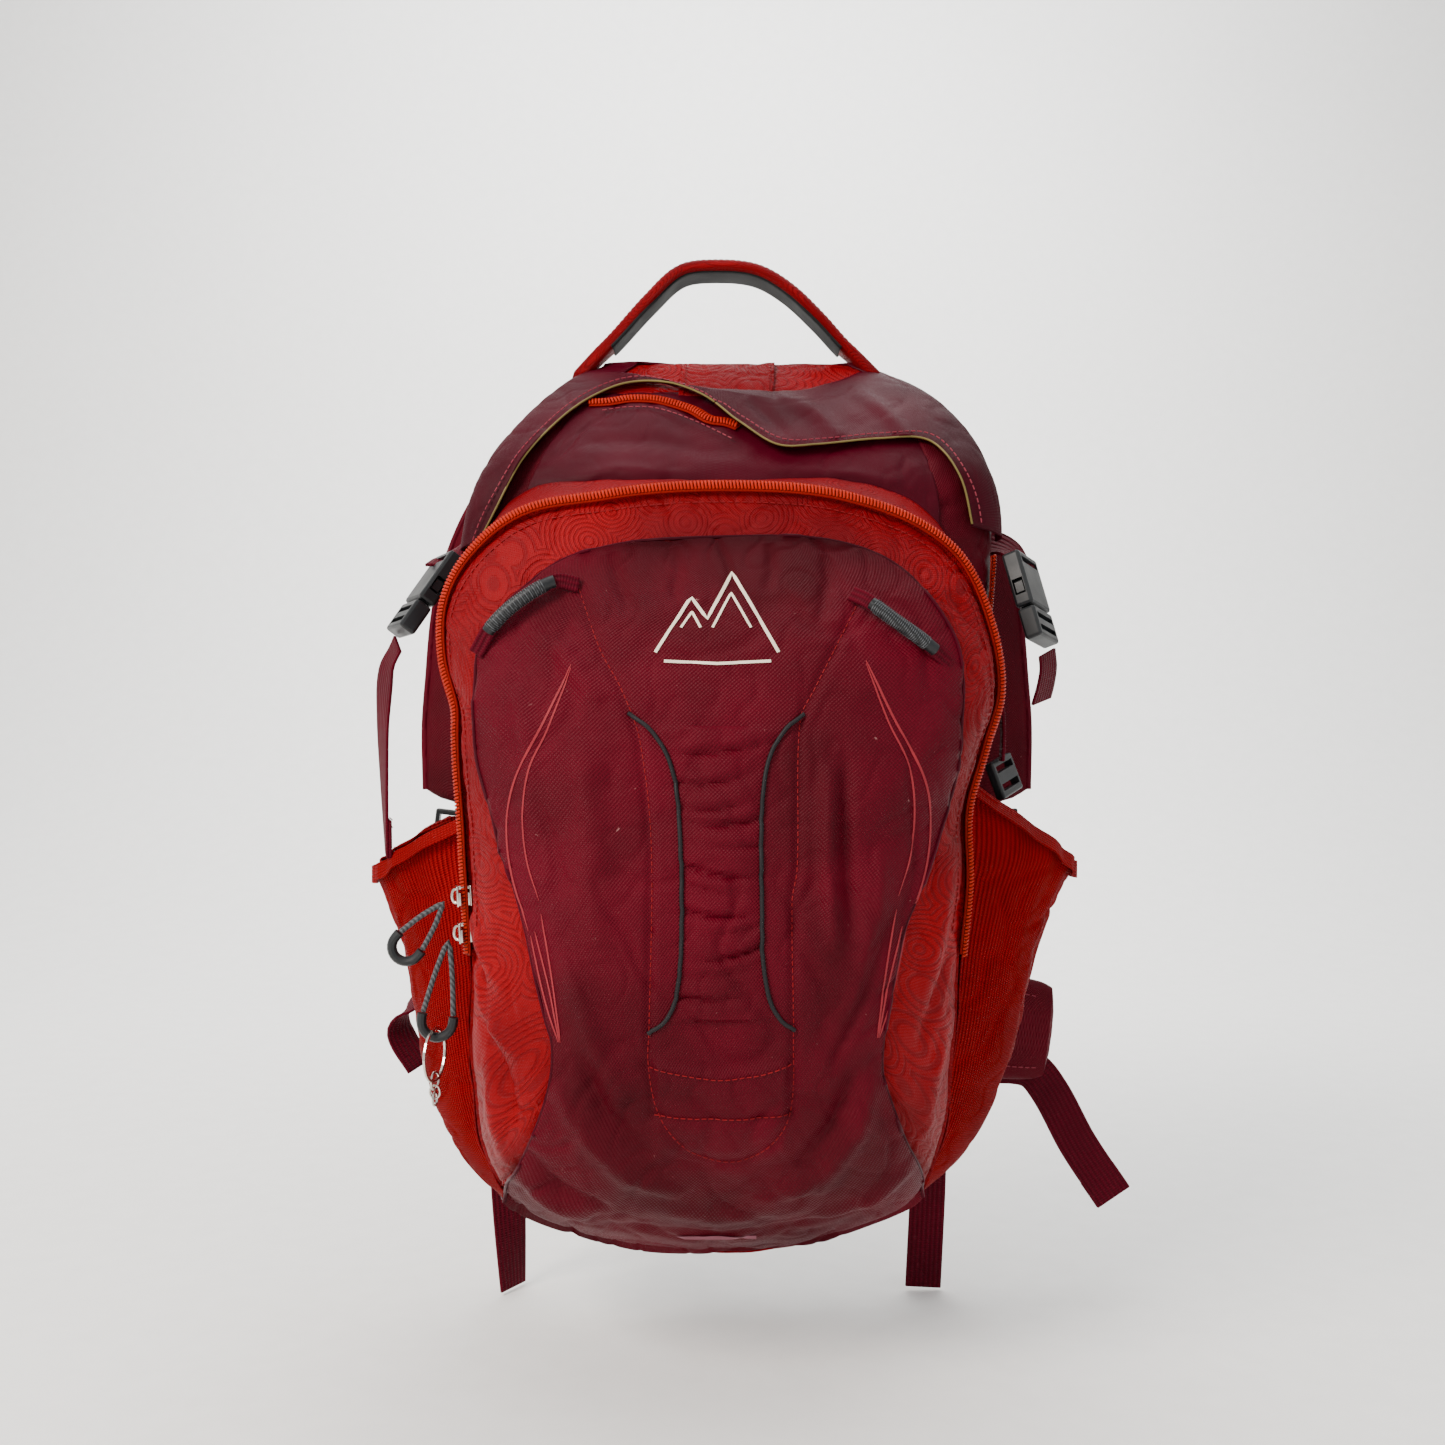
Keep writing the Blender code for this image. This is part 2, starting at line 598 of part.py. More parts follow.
def compression_straps():
    """The upper compression strap of each side, with its buckle done up and its loose end hanging."""
    sides = (
        ("left", (-0.1458, -0.0525, -0.1750), (-0.50, -0.30, -0.82), (-0.85, -0.45, 0.3),
         [(-0.1605, -0.0620, -0.2040), (-0.1670, -0.0575, -0.2170), (-0.1715, -0.0470, -0.2400),
          (-0.1725, -0.0400, -0.2750), (-0.1715, -0.0380, -0.3130)], ((0.55, -0.75, 0.3), (0.25, -0.97, 0))),
        ("right", (0.1600, -0.0430, -0.1760), (0.20, -0.30, -0.93), (0.85, -0.50, 0.3),
         [(0.1675, -0.0530, -0.2080), (0.1685, -0.0510, -0.2160), (0.1680, -0.0480, -0.2240),
          (0.1665, -0.0440, -0.2330)], ((0.55, 0.75, 0.1), (0.6, 0.8, 0))),
    )
    for side, place, along, outward, tail, across in sides:
        frame = facing(place, along, outward)
        female_buckle("buckle_socket_" + side, frame)
        male_buckle("buckle_plug_" + side, frame)
        band("compression_webbing_" + side, tail, WEBBING * 0.95, across, WEBBING_THICK, "webbing", 8)
        for letter, way in (("a", 1), ("b", -1)):
            arm = prong(f"buckle_prong_{side}_{letter}", frame, way)
            root = frame @ Vector((way * 0.0075, 0.0108, 0))
            squeeze = pivot(f"buckle_prong_{side}_{letter}", root, facing((0, 0, 0), along, outward))
            carry(squeeze, arm)
    ladder_lock("side_ladder_right",
                facing((0.1500, -0.0300, -0.2720), (0.35, 0, -0.94), (0.8, -0.6, 0.3)), 1.0)


# Haul handle


def haul_handle():
    """A padded grip sewn into the two top corners of the bag."""
    path = [(-0.0665, 0, -0.0462), (-0.0560, 0, -0.0360), (-0.037, 0, -0.0155), (-0.020, 0, -0.0005),
            (0, 0, 0.0027), (0.021, 0, 0.0003), (0.038, 0, -0.0095), (0.055, 0, -0.0255), (0.067, 0, -0.0385),
            (0.0755, 0, -0.0462)]
    width = [(0, 0.003), (0.06, 0.010), (0.16, 0.020), (0.3, 0.0245), (0.7, 0.0245), (0.84, 0.020),
             (0.94, 0.010), (1, 0.003)]
    grip = band("haul_handle", path, width, ((0, 1, 0), (0, 1, 0)), 0.0042, "red_ripstop", 20)
    swing = pivot("haul_handle", (0, 0, HANDLE_ROOT_Z))
    carry(swing, grip)
    return grip


# Harness


def back_pad():
    bm = bmesh.new()
    bmesh.ops.create_grid(bm, x_segments=2, y_segments=9, size=0.5)
    for vert in bm.verts:
        u, v = vert.co.x + 0.5, vert.co.y + 0.5
        z = -0.478 + 0.393 * v
        left, right = smooth(LEFT_HALF, z) - 0.022, smooth(RIGHT_HALF, z) - 0.028
        vert.co = Vector((-left + (left + right) * u, BACK_Y + 0.0012, z))
    bm.normal_update()
    if sum(f.normal.y for f in bm.faces) > 0:
        bmesh.ops.reverse_faces(bm, faces=bm.faces)
    obj = finish(bm, "back_pad", "spacer_mesh")
    wall = obj.modifiers.new("foam", "SOLIDIFY")
    wall.thickness = 0.012
    wall.offset = -1


def shoulder_strap(side, way, bow):
    """A curved padded strap that hangs behind the bag from its top edge. bow is how far out it stands."""
    path = [(way * 0.046, 0.0330, -0.080), (way * (0.058 + bow), 0.0345, -0.094),
            (way * (0.091 + bow), 0.0360, -0.125), (way * (0.111 + bow), 0.0370, -0.170),
            (way * (0.119 + bow), 0.0370, -0.225), (way * (0.127 + bow), 0.0360, -0.290)]
    width = [(0, 0.050), (0.4, 0.056), (0.8, 0.052), (1, 0.038)]
    across = ((way * 0.62, 0, 0.78), (way * 0.99, 0, 0.10))
    strap = band("shoulder_strap_" + side, path, width, across, 0.0090, "burgundy_nylon", 10)
    foot = Vector((way * (0.1285 + bow), 0.0360, -0.3040))
    lock = ladder_lock("ladder_lock_" + side, facing(foot, (way * 0.12, 0, -0.99), (0, 1, 0)), 1.0)
    swing = pivot("shoulder_strap_" + side, (way * 0.046, 0.0330, -0.080))
    carry(swing, strap, lock)

    corner = Vector((way * 0.098, 0.0160, -0.484))
    band("lower_webbing_" + side,
         [foot + Vector((0, -0.0060, -0.0150)), foot.lerp(corner, 0.35) + Vector((0, -0.0075, 0)),
          foot.lerp(corner, 0.7) + Vector((0, -0.003, 0)), corner],
         WEBBING, ((1, 0, way * 0.2), (1, 0, way * 0.3)), WEBBING_THICK, "webbing", 8)
    twist = (1, 0, way * 0.1) if way > 0 else (0.55, 0.83, 0)
    band("strap_tail_" + side,
         [(way * 0.119, 0.0275, -0.458), (way * 0.1185, 0.0280, -0.500), (way * 0.1155, 0.0275, -0.562)],
         WEBBING, ((1, 0, 0), twist), WEBBING_THICK, "webbing", 6)

    clip = Vector((way * (0.088 + bow * 0.9), 0.0450, -0.1300))
    down = (way * 0.50, 0, -0.866)
    webbing = band("sternum_webbing_" + side,
                   [clip, clip + Vector((-way * 0.004, 0.001, -0.025)),
                    clip + Vector((-way * 0.005, 0.001, -0.0480))],
                   0.0150, ((1, 0, 0), (1, 0, 0)), 0.0014, "webbing", 4)
    clip_bar = block("sternum_clip_" + side, (0.0200, 0.0018, 0.0100), "grey_acetal",
                     (clip.x, 0.0428, clip.z), 0.0005)
    end = clip + Vector((-way * 0.005, 0.0010, -0.0490))
    if way < 0:
        half = male_buckle("sternum_plug", facing(end + Vector((0, 0, -0.0215)), (0, 0, 1), (0, 1, 0)), 0.72)
    else:
        half = female_buckle("sternum_socket",
                             facing(end + Vector((0, 0, -0.0142)), (0, 0, -1), (0, 1, 0)), 0.72)
    slide = pivot("sternum_slide_" + side, clip, facing((0, 0, 0), down, (0, 1, 0)))
    hang = pivot("sternum_swing_" + side, clip)
    carry(hang, webbing, half)
    carry(slide, clip_bar, hang)
    carry(swing, slide)


def hip_belt():
    """Two padded wings. The right one lies out to the side and the left one is folded across the back."""
    wing_y, wing_foam = 0.0350, 0.0100

    def wing(x0, x1):
        def shape(u, v):
            taper = 1 - 0.25 * u**3
            high = -0.408 - 0.012 * u + 0.060 * (v - 0.5) * taper
            return Vector((x0 + (x1 - x0) * u, wing_y - wing_foam / 2, high))

        return shape

    right = sheet("hip_wing_right", wing(0.088, 0.190), 5, 2, wing_foam, (0.1, 0.5, -0.4), "burgundy_nylon")
    left = sheet("hip_wing_left", wing(-0.088, 0.018), 5, 2, wing_foam, (0.0, 0.5, -0.4), "burgundy_nylon")
    behind = wing_y + wing_foam / 2 + 0.0020
    right_webbing = band(
        "hip_webbing_right",
        [(0.108, behind, -0.4405), (0.150, behind, -0.4400), (0.178, behind, -0.4420),
         (0.190, behind, -0.4550), (0.2060, behind - 0.002, -0.4850), (0.2260, behind - 0.004, -0.5150)],
        WEBBING * 1.1, ((0, 0, 1), (0.92, 0, 0.40)), WEBBING_THICK, "webbing", 12)
    buckle_y = behind + 0.0035
    left_webbing = band(
        "hip_webbing_left",
        [(-0.0850, buckle_y, -0.4045), (-0.115, buckle_y - 0.001, -0.3950), (-0.1540, 0.0415, -0.3920),
         (-0.1780, 0.0405, -0.4080), (-0.1820, 0.0395, -0.4200), (-0.1700, 0.0375, -0.4400)],
        WEBBING * 0.9, ((0, 0.15, 1), (0.5, 0.75, 0.4)), WEBBING_THICK, "webbing", 12)
    socket = female_buckle("hip_socket", facing((0.0900, buckle_y, -0.4405), (-1, 0, 0), (0, 1, 0)), 0.9)
    plug = male_buckle("hip_plug", facing((-0.0560, buckle_y, -0.4045), (-1, 0, 0), (0, 1, 0)), 0.9)
    right_root = pivot("hip_wing_right", (0.088, wing_y, -0.408))
    left_root = pivot("hip_wing_left", (-0.088, wing_y, -0.408))
    carry(right_root, right, right_webbing, socket)
    carry(left_root, left, left_webbing, plug)


def main():
    clear_scene()
    main_bag()
    main_path = main_zip()
    hinge = front_pocket()
    tool_loops(hinge)
    zip_hardware(main_path)
    side_pocket("side_pocket_left", -1, 0.0)
    side_pocket("side_pocket_right", 1, 0.004)
    compression_straps()
    haul_handle()
    back_pad()
    shoulder_strap("left", -1, 0.020)
    shoulder_strap("right", 1, 0.030)
    hip_belt()


main()
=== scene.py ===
"""Day pack: sewn panels, zips, webbing, buckles and printing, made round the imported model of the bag.

X is to the right as the front is seen, Z is up and the front faces -Y. Lengths are in metres.
"""

import math

import bmesh
import bpy
import numpy as np
from bpy.props import FloatProperty, FloatVectorProperty, PointerProperty
from bpy.types import Operator, Panel, PropertyGroup
from mathutils import Matrix, Vector, noise
from mathutils.bvhtree import BVHTree


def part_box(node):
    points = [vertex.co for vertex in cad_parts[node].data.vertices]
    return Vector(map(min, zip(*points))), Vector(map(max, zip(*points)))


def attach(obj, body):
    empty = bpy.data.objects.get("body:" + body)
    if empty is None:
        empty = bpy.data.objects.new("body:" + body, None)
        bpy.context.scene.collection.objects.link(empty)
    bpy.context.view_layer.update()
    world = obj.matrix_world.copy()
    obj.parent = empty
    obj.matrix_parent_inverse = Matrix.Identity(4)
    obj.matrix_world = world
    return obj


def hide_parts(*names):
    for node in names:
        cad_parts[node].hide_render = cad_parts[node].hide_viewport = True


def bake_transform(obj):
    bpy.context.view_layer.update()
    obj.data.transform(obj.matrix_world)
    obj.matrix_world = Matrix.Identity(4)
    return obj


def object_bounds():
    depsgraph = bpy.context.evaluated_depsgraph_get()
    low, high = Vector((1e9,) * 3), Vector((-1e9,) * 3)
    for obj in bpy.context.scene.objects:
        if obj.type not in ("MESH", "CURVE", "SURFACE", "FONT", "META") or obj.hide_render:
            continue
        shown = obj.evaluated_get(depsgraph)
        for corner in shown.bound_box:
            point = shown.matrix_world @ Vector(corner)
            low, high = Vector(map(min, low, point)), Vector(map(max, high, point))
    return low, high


bl_info = {
    "name": "Day Pack",
    "version": (1, 0, 0),
    "blender": (4, 5, 0),
    "location": "View3D > Sidebar > Day Pack",
    "description": "Builds the fabric, zips, webbing and fittings of a day pack round its frame",
    "category": "Object",
}

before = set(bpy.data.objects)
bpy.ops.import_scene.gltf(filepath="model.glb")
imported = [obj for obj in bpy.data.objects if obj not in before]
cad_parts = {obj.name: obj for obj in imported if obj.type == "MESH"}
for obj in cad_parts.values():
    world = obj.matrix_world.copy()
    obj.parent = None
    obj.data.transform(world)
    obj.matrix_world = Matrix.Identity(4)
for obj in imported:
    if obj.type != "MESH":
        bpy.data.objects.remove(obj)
cad_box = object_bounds()


# Shape of the bag, as (place, value) knots


def hermite(knots, at):
    """Value at a place on a smooth curve through (place, value) knots."""
    if at <= knots[0][0]:
        return knots[0][1]
    if at >= knots[-1][0]:
        return knots[-1][1]
    i = next(k for k in range(len(knots) - 1) if at <= knots[k + 1][0])
    (t0, v0), (t1, v1) = knots[i], knots[i + 1]
    before, after = knots[max(i - 1, 0)], knots[min(i + 2, len(knots) - 1)]
    slope0 = (v1 - before[1]) / (t1 - before[0])
    slope1 = (after[1] - v0) / (after[0] - t0)
    h = t1 - t0
    s = (at - t0) / h
    return (
        (2 * s**3 - 3 * s**2 + 1) * v0
        + (s**3 - 2 * s**2 + s) * h * slope0
        + (3 * s**2 - 2 * s**3) * v1
        + (s**3 - s**2) * h * slope1
    )


def ramp(*knots):
    """The smooth curve through the knots, as a function of a number or an array."""
    places = np.linspace(knots[0][0], knots[-1][0], 400)
    values = np.array([hermite(knots, p) for p in places])
    return lambda at: np.interp(at, places, values)


BACK_Y = 0.012  # the main bag's rear face
BOXINESS = 3.4  # 2 makes the main bag's section an ellipse, and more makes it squarer
FOLD_Z = -0.315  # the line about which the front pocket opens
RIM_INSET = 0.0042  # from the middle of the front zip to the fabric's edge
left_half = ramp(
    (-0.518, 0.050), (-0.505, 0.085), (-0.485, 0.107), (-0.45, 0.120), (-0.40, 0.126), (-0.30, 0.129),
    (-0.20, 0.131), (-0.14, 0.126), (-0.11, 0.1145), (-0.09, 0.1015), (-0.07, 0.0855), (-0.056, 0.071),
    (-0.049, 0.060),
)
right_half = ramp(
    (-0.518, 0.045), (-0.505, 0.075), (-0.485, 0.098), (-0.45, 0.115), (-0.40, 0.124), (-0.30, 0.132),
    (-0.20, 0.139), (-0.14, 0.1425), (-0.11, 0.1355), (-0.09, 0.1265), (-0.07, 0.110), (-0.056, 0.093),
    (-0.049, 0.080),
)
main_front = ramp(
    (-0.518, -0.030), (-0.50, -0.045), (-0.45, -0.058), (-0.30, -0.062), (-0.15, -0.066), (-0.118, -0.064),
    (-0.09, -0.043), (-0.07, -0.024), (-0.056, -0.010), (-0.049, -0.002),
)
crown_y = ramp(
    (-0.518, -0.052), (-0.495, -0.105), (-0.45, -0.138), (-0.38, -0.148), (-0.28, -0.143), (-0.20, -0.133),
    (-0.16, -0.119), (-0.130, -0.099),
)
rim_y = ramp(
    (-0.518, -0.044), (-0.48, -0.068), (-0.42, -0.084), (-0.36, -0.0875), (-0.19, -0.0875), (-0.13, -0.097),
)
RIM = [
    (0.1225, -0.315), (0.1225, -0.285), (0.131, -0.255), (0.138, -0.230), (0.133, -0.195), (0.119, -0.165),
    (0.098, -0.148), (0.064, -0.1355), (0.004, -0.130), (-0.055, -0.1345), (-0.095, -0.1425),
    (-0.121, -0.163), (-0.133, -0.185), (-0.134, -0.212), (-0.1275, -0.24), (-0.1243, -0.30),
    (-0.121, -0.36), (-0.1205, -0.42), (-0.117, -0.455), (-0.103, -0.483), (-0.072, -0.504),
    (-0.028, -0.514), (0.020, -0.517), (0.062, -0.505), (0.098, -0.484), (0.112, -0.45), (0.116, -0.41),
    (0.119, -0.36),
]


def around(points):
    """(degrees, radius) knots of a closed outline about the middle of the fold line."""
    turned = sorted(
        (math.degrees(math.atan2(z - FOLD_Z, x)) % 360, math.hypot(x, z - FOLD_Z)) for x, z in points
    )
    before = [(d - 360, r) for d, r in turned[-2:]]
    after = [(d + 360, r) for d, r in turned[:2]]
    return before + turned + after


rim_radius = ramp(*around(RIM))


def front_y(x, z):
    """Depth of the front pocket's outside at that place."""
    degrees = np.degrees(np.arctan2(z - FOLD_Z, x)) % 360
    share = np.minimum(np.hypot(x, z - FOLD_Z) / (rim_radius(degrees) - RIM_INSET), 1)
    rim = rim_y(z)
    crown = np.minimum(crown_y(z), rim - 0.001)
    return rim + (crown - rim) * np.maximum(0, 1 - share**3.2) ** 0.62


def shell(degrees, z, proud=0.0):
    """Points on the outside of the main bag: 0 degrees is its right side, 90 its back, 270 its front."""
    a = np.radians(np.asarray(degrees, float))
    z = np.asarray(z, float) + 0 * a
    half = np.where(np.cos(a) >= 0, right_half(z), left_half(z)) + proud
    front = main_front(z) - proud
    back = BACK_Y + proud
    power = 2 / BOXINESS
    x = half * np.copysign(np.abs(np.cos(a)) ** power, np.cos(a))
    y = (back + front) / 2 + np.copysign(np.abs(np.sin(a)) ** power, np.sin(a)) * (back - front) / 2
    return np.stack([x, y, z], axis=-1)


def smooth_run(points, steps):
    """steps + 1 points on a smooth curve through the given ones, evenly spaced by length."""
    points = [Vector(p) for p in points]
    run = [0.0]
    for a, b in zip(points, points[1:]):
        run.append(run[-1] + (b - a).length)
    axes = [[(r, p[k]) for r, p in zip(run, points)] for k in range(len(points[0]))]
    return [Vector([hermite(axis, run[-1] * i / steps) for axis in axes]) for i in range(steps + 1)]


def clouds(points, scale, seed):
    """Smooth noise from -1 to 1 at each point; scale is the size of its lumps."""
    return np.array([noise.noise(Vector(p) / scale + Vector((seed, 0, 0))) for p in points])


def distance_to(path, x, z):
    """How far each point is from a run of straight pieces, and how far along it that is, from 0 to 1."""
    best = np.full(np.shape(x), 9.0)
    place = np.zeros(np.shape(x))
    for k, ((ax, az), (bx, bz)) in enumerate(zip(path, path[1:])):
        dx, dz = bx - ax, bz - az
        t = np.clip(((x - ax) * dx + (z - az) * dz) / (dx * dx + dz * dz), 0, 1)
        away = np.hypot(x - ax - t * dx, z - az - t * dz)
        place = np.where(away < best, (k + t) / (len(path) - 1), place)
        best = np.minimum(best, away)
    return best, place


def ridge(path, x, z, width, height):
    """A fold along a path that dies out at both ends. A negative height is a crease."""
    away, place = distance_to(path, x, z)
    return height * np.exp(-((away / width) ** 2)) * np.sqrt(np.clip(np.sin(math.pi * place), 0, 1))


# Materials


def hex_colour(code):
    """Linear RGBA of an sRGB hex code."""
    channels = [int(code[k : k + 2], 16) / 255 for k in (0, 2, 4)]
    linear = [c / 12.92 if c <= 0.04045 else ((c + 0.055) / 1.055) ** 2.4 for c in channels]
    return (*linear, 1)


def chosen(name):
    """Linear RGBA of one of the sidebar's colours."""
    return tuple(getattr(bpy.context.scene.day_pack, name))


def add(tree, kind, settings=None, links=None):
    """A node with its settings, and its inputs linked from other nodes' outputs or set to values."""
    node = tree.nodes.new(kind)
    for name, value in (settings or {}).items():
        setattr(node, name, value)
    for name, value in (links or {}).items():
        if isinstance(value, bpy.types.NodeSocket):
            tree.links.new(value, node.inputs[name])
        else:
            node.inputs[name].default_value = value
    return node


def new_material(name):
    """(material, its node tree, its Principled BSDF), or None for the last two if it is made already."""
    made = bpy.data.materials.get(name)
    if made:
        return made, None, None
    made = bpy.data.materials.new(name)
    made.use_nodes = True
    return made, made.node_tree, made.node_tree.nodes["Principled BSDF"]


def mixed(tree, factor, a, b):
    """Colour between a and b by factor. Each may be a socket or a value."""
    node = add(tree, "ShaderNodeMix", {"data_type": "RGBA"})
    for index, value in ((0, factor), (6, a), (7, b)):
        if isinstance(value, bpy.types.NodeSocket):
            tree.links.new(value, node.inputs[index])
        else:
            node.inputs[index].default_value = value
    return node.outputs[2]


def sum_of(tree, operation, a, b=0.0):
    return add(tree, "ShaderNodeMath", {"operation": operation}, {0: a, 1: b}).outputs[0]


def ranged(tree, value, low, high, to_low=0.0, to_high=1.0):
    return add(
        tree, "ShaderNodeMapRange", None,
        {"Value": value, "From Min": low, "From Max": high, "To Min": to_low, "To Max": to_high},
    ).outputs[0]


def coordinates(tree):
    """The UV map in metres, its two parts, and the place on the object."""
    uv = add(tree, "ShaderNodeUVMap", {"uv_map": "UVMap"}).outputs["UV"]
    split = add(tree, "ShaderNodeSeparateXYZ", None, {"Vector": uv})
    place = add(tree, "ShaderNodeTexCoord").outputs["Object"]
    return uv, split.outputs["X"], split.outputs["Y"], place


def noise_of(tree, place, scale, detail):
    """Noise from 0 to 1 at a place."""
    values = {"Vector": place, "Scale": scale, "Detail": detail}
    return add(tree, "ShaderNodeTexNoise", None, values).outputs["Fac"]


def bumped(tree, shader, height, lift, strength):
    """Gives the shader a bump of that height, lift metres for each unit of it."""
    bump = add(tree, "ShaderNodeBump", None, {"Height": height, "Distance": lift, "Strength": strength})
    tree.links.new(bump.outputs["Normal"], shader.inputs["Normal"])


def threads(tree, across, along, pitch):
    """Height of a plain weave from two coordinates in metres: over-and-under bumps one pitch apart."""
    turn = 2 * math.pi / (2 * pitch)
    warp = sum_of(tree, "SINE", sum_of(tree, "MULTIPLY", across, turn))
    weft = sum_of(tree, "SINE", sum_of(tree, "MULTIPLY", along, turn))
    return sum_of(tree, "MULTIPLY", warp, weft)


def woven(name, colour, deep, pitch, roughness, lift, motif=None, specks=False):
    """Woven nylon: threads catch the light in a fine check, the colour wanders a little over a panel."""
    made, tree, shader = new_material(name)
    if tree is None:
        return made
    uv, across, lengthways, place = coordinates(tree)
    weave = threads(tree, across, lengthways, pitch)
    patch, fuzz = noise_of(tree, place, 14.0, 3.0), noise_of(tree, place, 900.0, 2.0)
    base = mixed(tree, ranged(tree, patch, 0.3, 0.7), deep, colour)
    base = mixed(tree, ranged(tree, weave, -1, 1, 0.0, 0.30), base, deep)
    height = sum_of(tree, "MULTIPLY", weave, 0.5)
    if motif:
        rings = motif(tree, uv)
        # Painted shade: the fans' pressed lines are darkened in the base colour as well as lowered by the
        # bump.
        base = mixed(tree, sum_of(tree, "MULTIPLY", rings, 0.60), base, deep)
        height = sum_of(tree, "ADD", height, sum_of(tree, "MULTIPLY", rings, -1.6))
    if specks:
        dust = noise_of(tree, place, 260.0, 4.0)
        base = mixed(tree, ranged(tree, dust, 0.74, 0.80, 0.0, 0.35), base, hex_colour("B98A86"))
    height = sum_of(tree, "ADD", height, sum_of(tree, "MULTIPLY", fuzz, 0.8))
    bumped(tree, shader, height, lift, 0.9)
    tree.links.new(base, shader.inputs["Base Color"])
    spread = ranged(tree, fuzz, 0.3, 0.7, roughness - 0.06, roughness + 0.06)
    tree.links.new(spread, shader.inputs["Roughness"])
    shader.inputs["Specular IOR Level"].default_value = 0.08
    return made


FAN, FAN_LINE = 0.027, 0.0023  # across one embossed fan, and from line to line in it


def fan_motif(tree, uv):
    """Embossed fans: each patch has curved lines about its own middle."""
    values = {"Vector": uv, "Scale": 1 / FAN, "Randomness": 1.0}
    patches = add(tree, "ShaderNodeTexVoronoi", {"feature": "F1"}, values)
    rings = sum_of(tree, "MULTIPLY", patches.outputs["Distance"], 2 * math.pi * FAN / FAN_LINE)
    return ranged(tree, sum_of(tree, "SINE", rings), 0.10, 0.80)


def red_ripstop():
    """Red nylon with an embossed fan pattern: satin, the pressed lines slightly darker in painted shade."""
    deep = hex_colour("5C0007")
    return woven("embossed_red_nylon", chosen("red_cloth"), deep, 0.00070, 0.50, 0.00022, fan_motif)


def burgundy_oxford():
    """Burgundy 420 denier oxford nylon: its threads are coarse enough to see, with dust on a worn bag."""
    deep = hex_colour("3A000A")
    return woven("burgundy_oxford_nylon", chosen("burgundy_cloth"), deep, 0.00085, 0.50, 0.00034, specks=True)


def burgundy_taffeta():
    """Thinner burgundy nylon of the hood, which creases more and shines more."""
    deep = hex_colour("2E000A")
    return woven("burgundy_taffeta_nylon", hex_colour("480014"), deep, 0.00045, 0.46, 0.00008)


def lining_nylon():
    """Grey lining: thin and plain."""
    return woven("grey_lining_nylon", hex_colour("57585B"), hex_colour("3A3B3E"), 0.0004, 0.55, 0.00006)


def ribbed(name, colour, deep, rib, cross, roughness, lift, strength=0.45):
    """Cloth with ribs along V, each one rib apart across U, and finer cross threads."""
    made, tree, shader = new_material(name)
    if tree is None:
        return made
    _, across, lengthways, place = coordinates(tree)
    ribs = sum_of(tree, "SINE", sum_of(tree, "MULTIPLY", across, 2 * math.pi / rib))
    holes = sum_of(tree, "SINE", sum_of(tree, "MULTIPLY", lengthways, 2 * math.pi / cross))
    height = sum_of(tree, "ADD", ribs, sum_of(tree, "MULTIPLY", holes, 0.5))
    patch = noise_of(tree, place, 25.0, 3.0)
    # Painted shade: the grooves between the ribs and the open stitches are darkened, by strength at the
    # lowest points.
    base = mixed(tree, ranged(tree, height, -1.5, 1.5, strength, 0.0), hex_colour(colour), hex_colour(deep))
    base = mixed(tree, ranged(tree, patch, 0.35, 0.7, 0.0, 0.35), base, hex_colour(deep))
    bumped(tree, shader, height, lift, 0.9)
    tree.links.new(base, shader.inputs["Base Color"])
    shader.inputs["Roughness"].default_value = roughness
    shader.inputs["Specular IOR Level"].default_value = 0.07
    return made


def stretch_knit():
    """Red stretch knit of the side pockets: vertical ribs 1.6 mm apart with open stitches between them."""
    return ribbed("red_stretch_knit", "960006", "560003", 0.0016, 0.0012, 0.62, 0.00045, 0.7)


def polyester_webbing():
    """Burgundy webbing: cross ribs 1.3 mm apart."""
    return ribbed("burgundy_polyester_webbing", "560016", "280008", 0.0026, 0.0013, 0.6, 0.00022, 0.6)


def spacer_mesh():
    """Dark knitted spacer mesh over foam."""
    return ribbed("dark_spacer_mesh", "3A3537", "0E0C0D", 0.0030, 0.0030, 0.85, 0.00050, 0.9)


def piping_cord():
    """Charcoal piping cord under a thin woven cover."""
    return plain("charcoal_piping", "151315", 0.6, grain=0.6, grain_scale=900.0, worn="221E20", gloss=0.2)


def zip_tape():
    """Orange zip tape, a close twill."""
    return ribbed("orange_zip_tape", "861003", "520A02", 0.0008, 0.0006, 0.55, 0.00010, 0.4)


def plain(name, colour, roughness, metallic=0.0, grain=0.0, grain_scale=600.0, worn=None, gloss=0.5):
    """A moulded, cast or printed surface: even, with a fine grain and a little wear."""
    made, tree, shader = new_material(name)
    if tree is None:
        return made
    place = add(tree, "ShaderNodeTexCoord").outputs["Object"]
    fine, patch = noise_of(tree, place, grain_scale, 4.0), noise_of(tree, place, 60.0, 4.0)
    if worn:
        base = mixed(tree, ranged(tree, patch, 0.35, 0.75, 0.0, 0.5), hex_colour(colour), hex_colour(worn))
        tree.links.new(base, shader.inputs["Base Color"])
    else:
        shader.inputs["Base Color"].default_value = hex_colour(colour)
    bumped(tree, shader, fine, 0.00010, grain)
    spread = ranged(tree, patch, 0.3, 0.7, roughness - 0.07, roughness + 0.07)
    tree.links.new(spread, shader.inputs["Roughness"])
    shader.inputs["Metallic"].default_value = metallic
    if not metallic:
        shader.inputs["Specular IOR Level"].default_value = gloss
    return made


def acetal():
    """Grey injection-moulded acetal of the buckles and grips: a satin spark-eroded grain."""
    return plain(
        "moulded_grey_acetal", "131517", 0.42, grain=0.35, grain_scale=1400.0, worn="1F2224", gloss=0.3,
    )


def zip_coil():
    """Orange nylon coil of the zips."""
    return plain("orange_nylon_coil", "A01C03", 0.50, grain=0.1, worn="841603", gloss=0.10)


def nickel():
    """Nickel-plated die casting and spring wire."""
    return plain("nickel_plate", "CFC9C0", 0.24, metallic=1.0, grain=0.08, grain_scale=300.0, worn="A9A197")


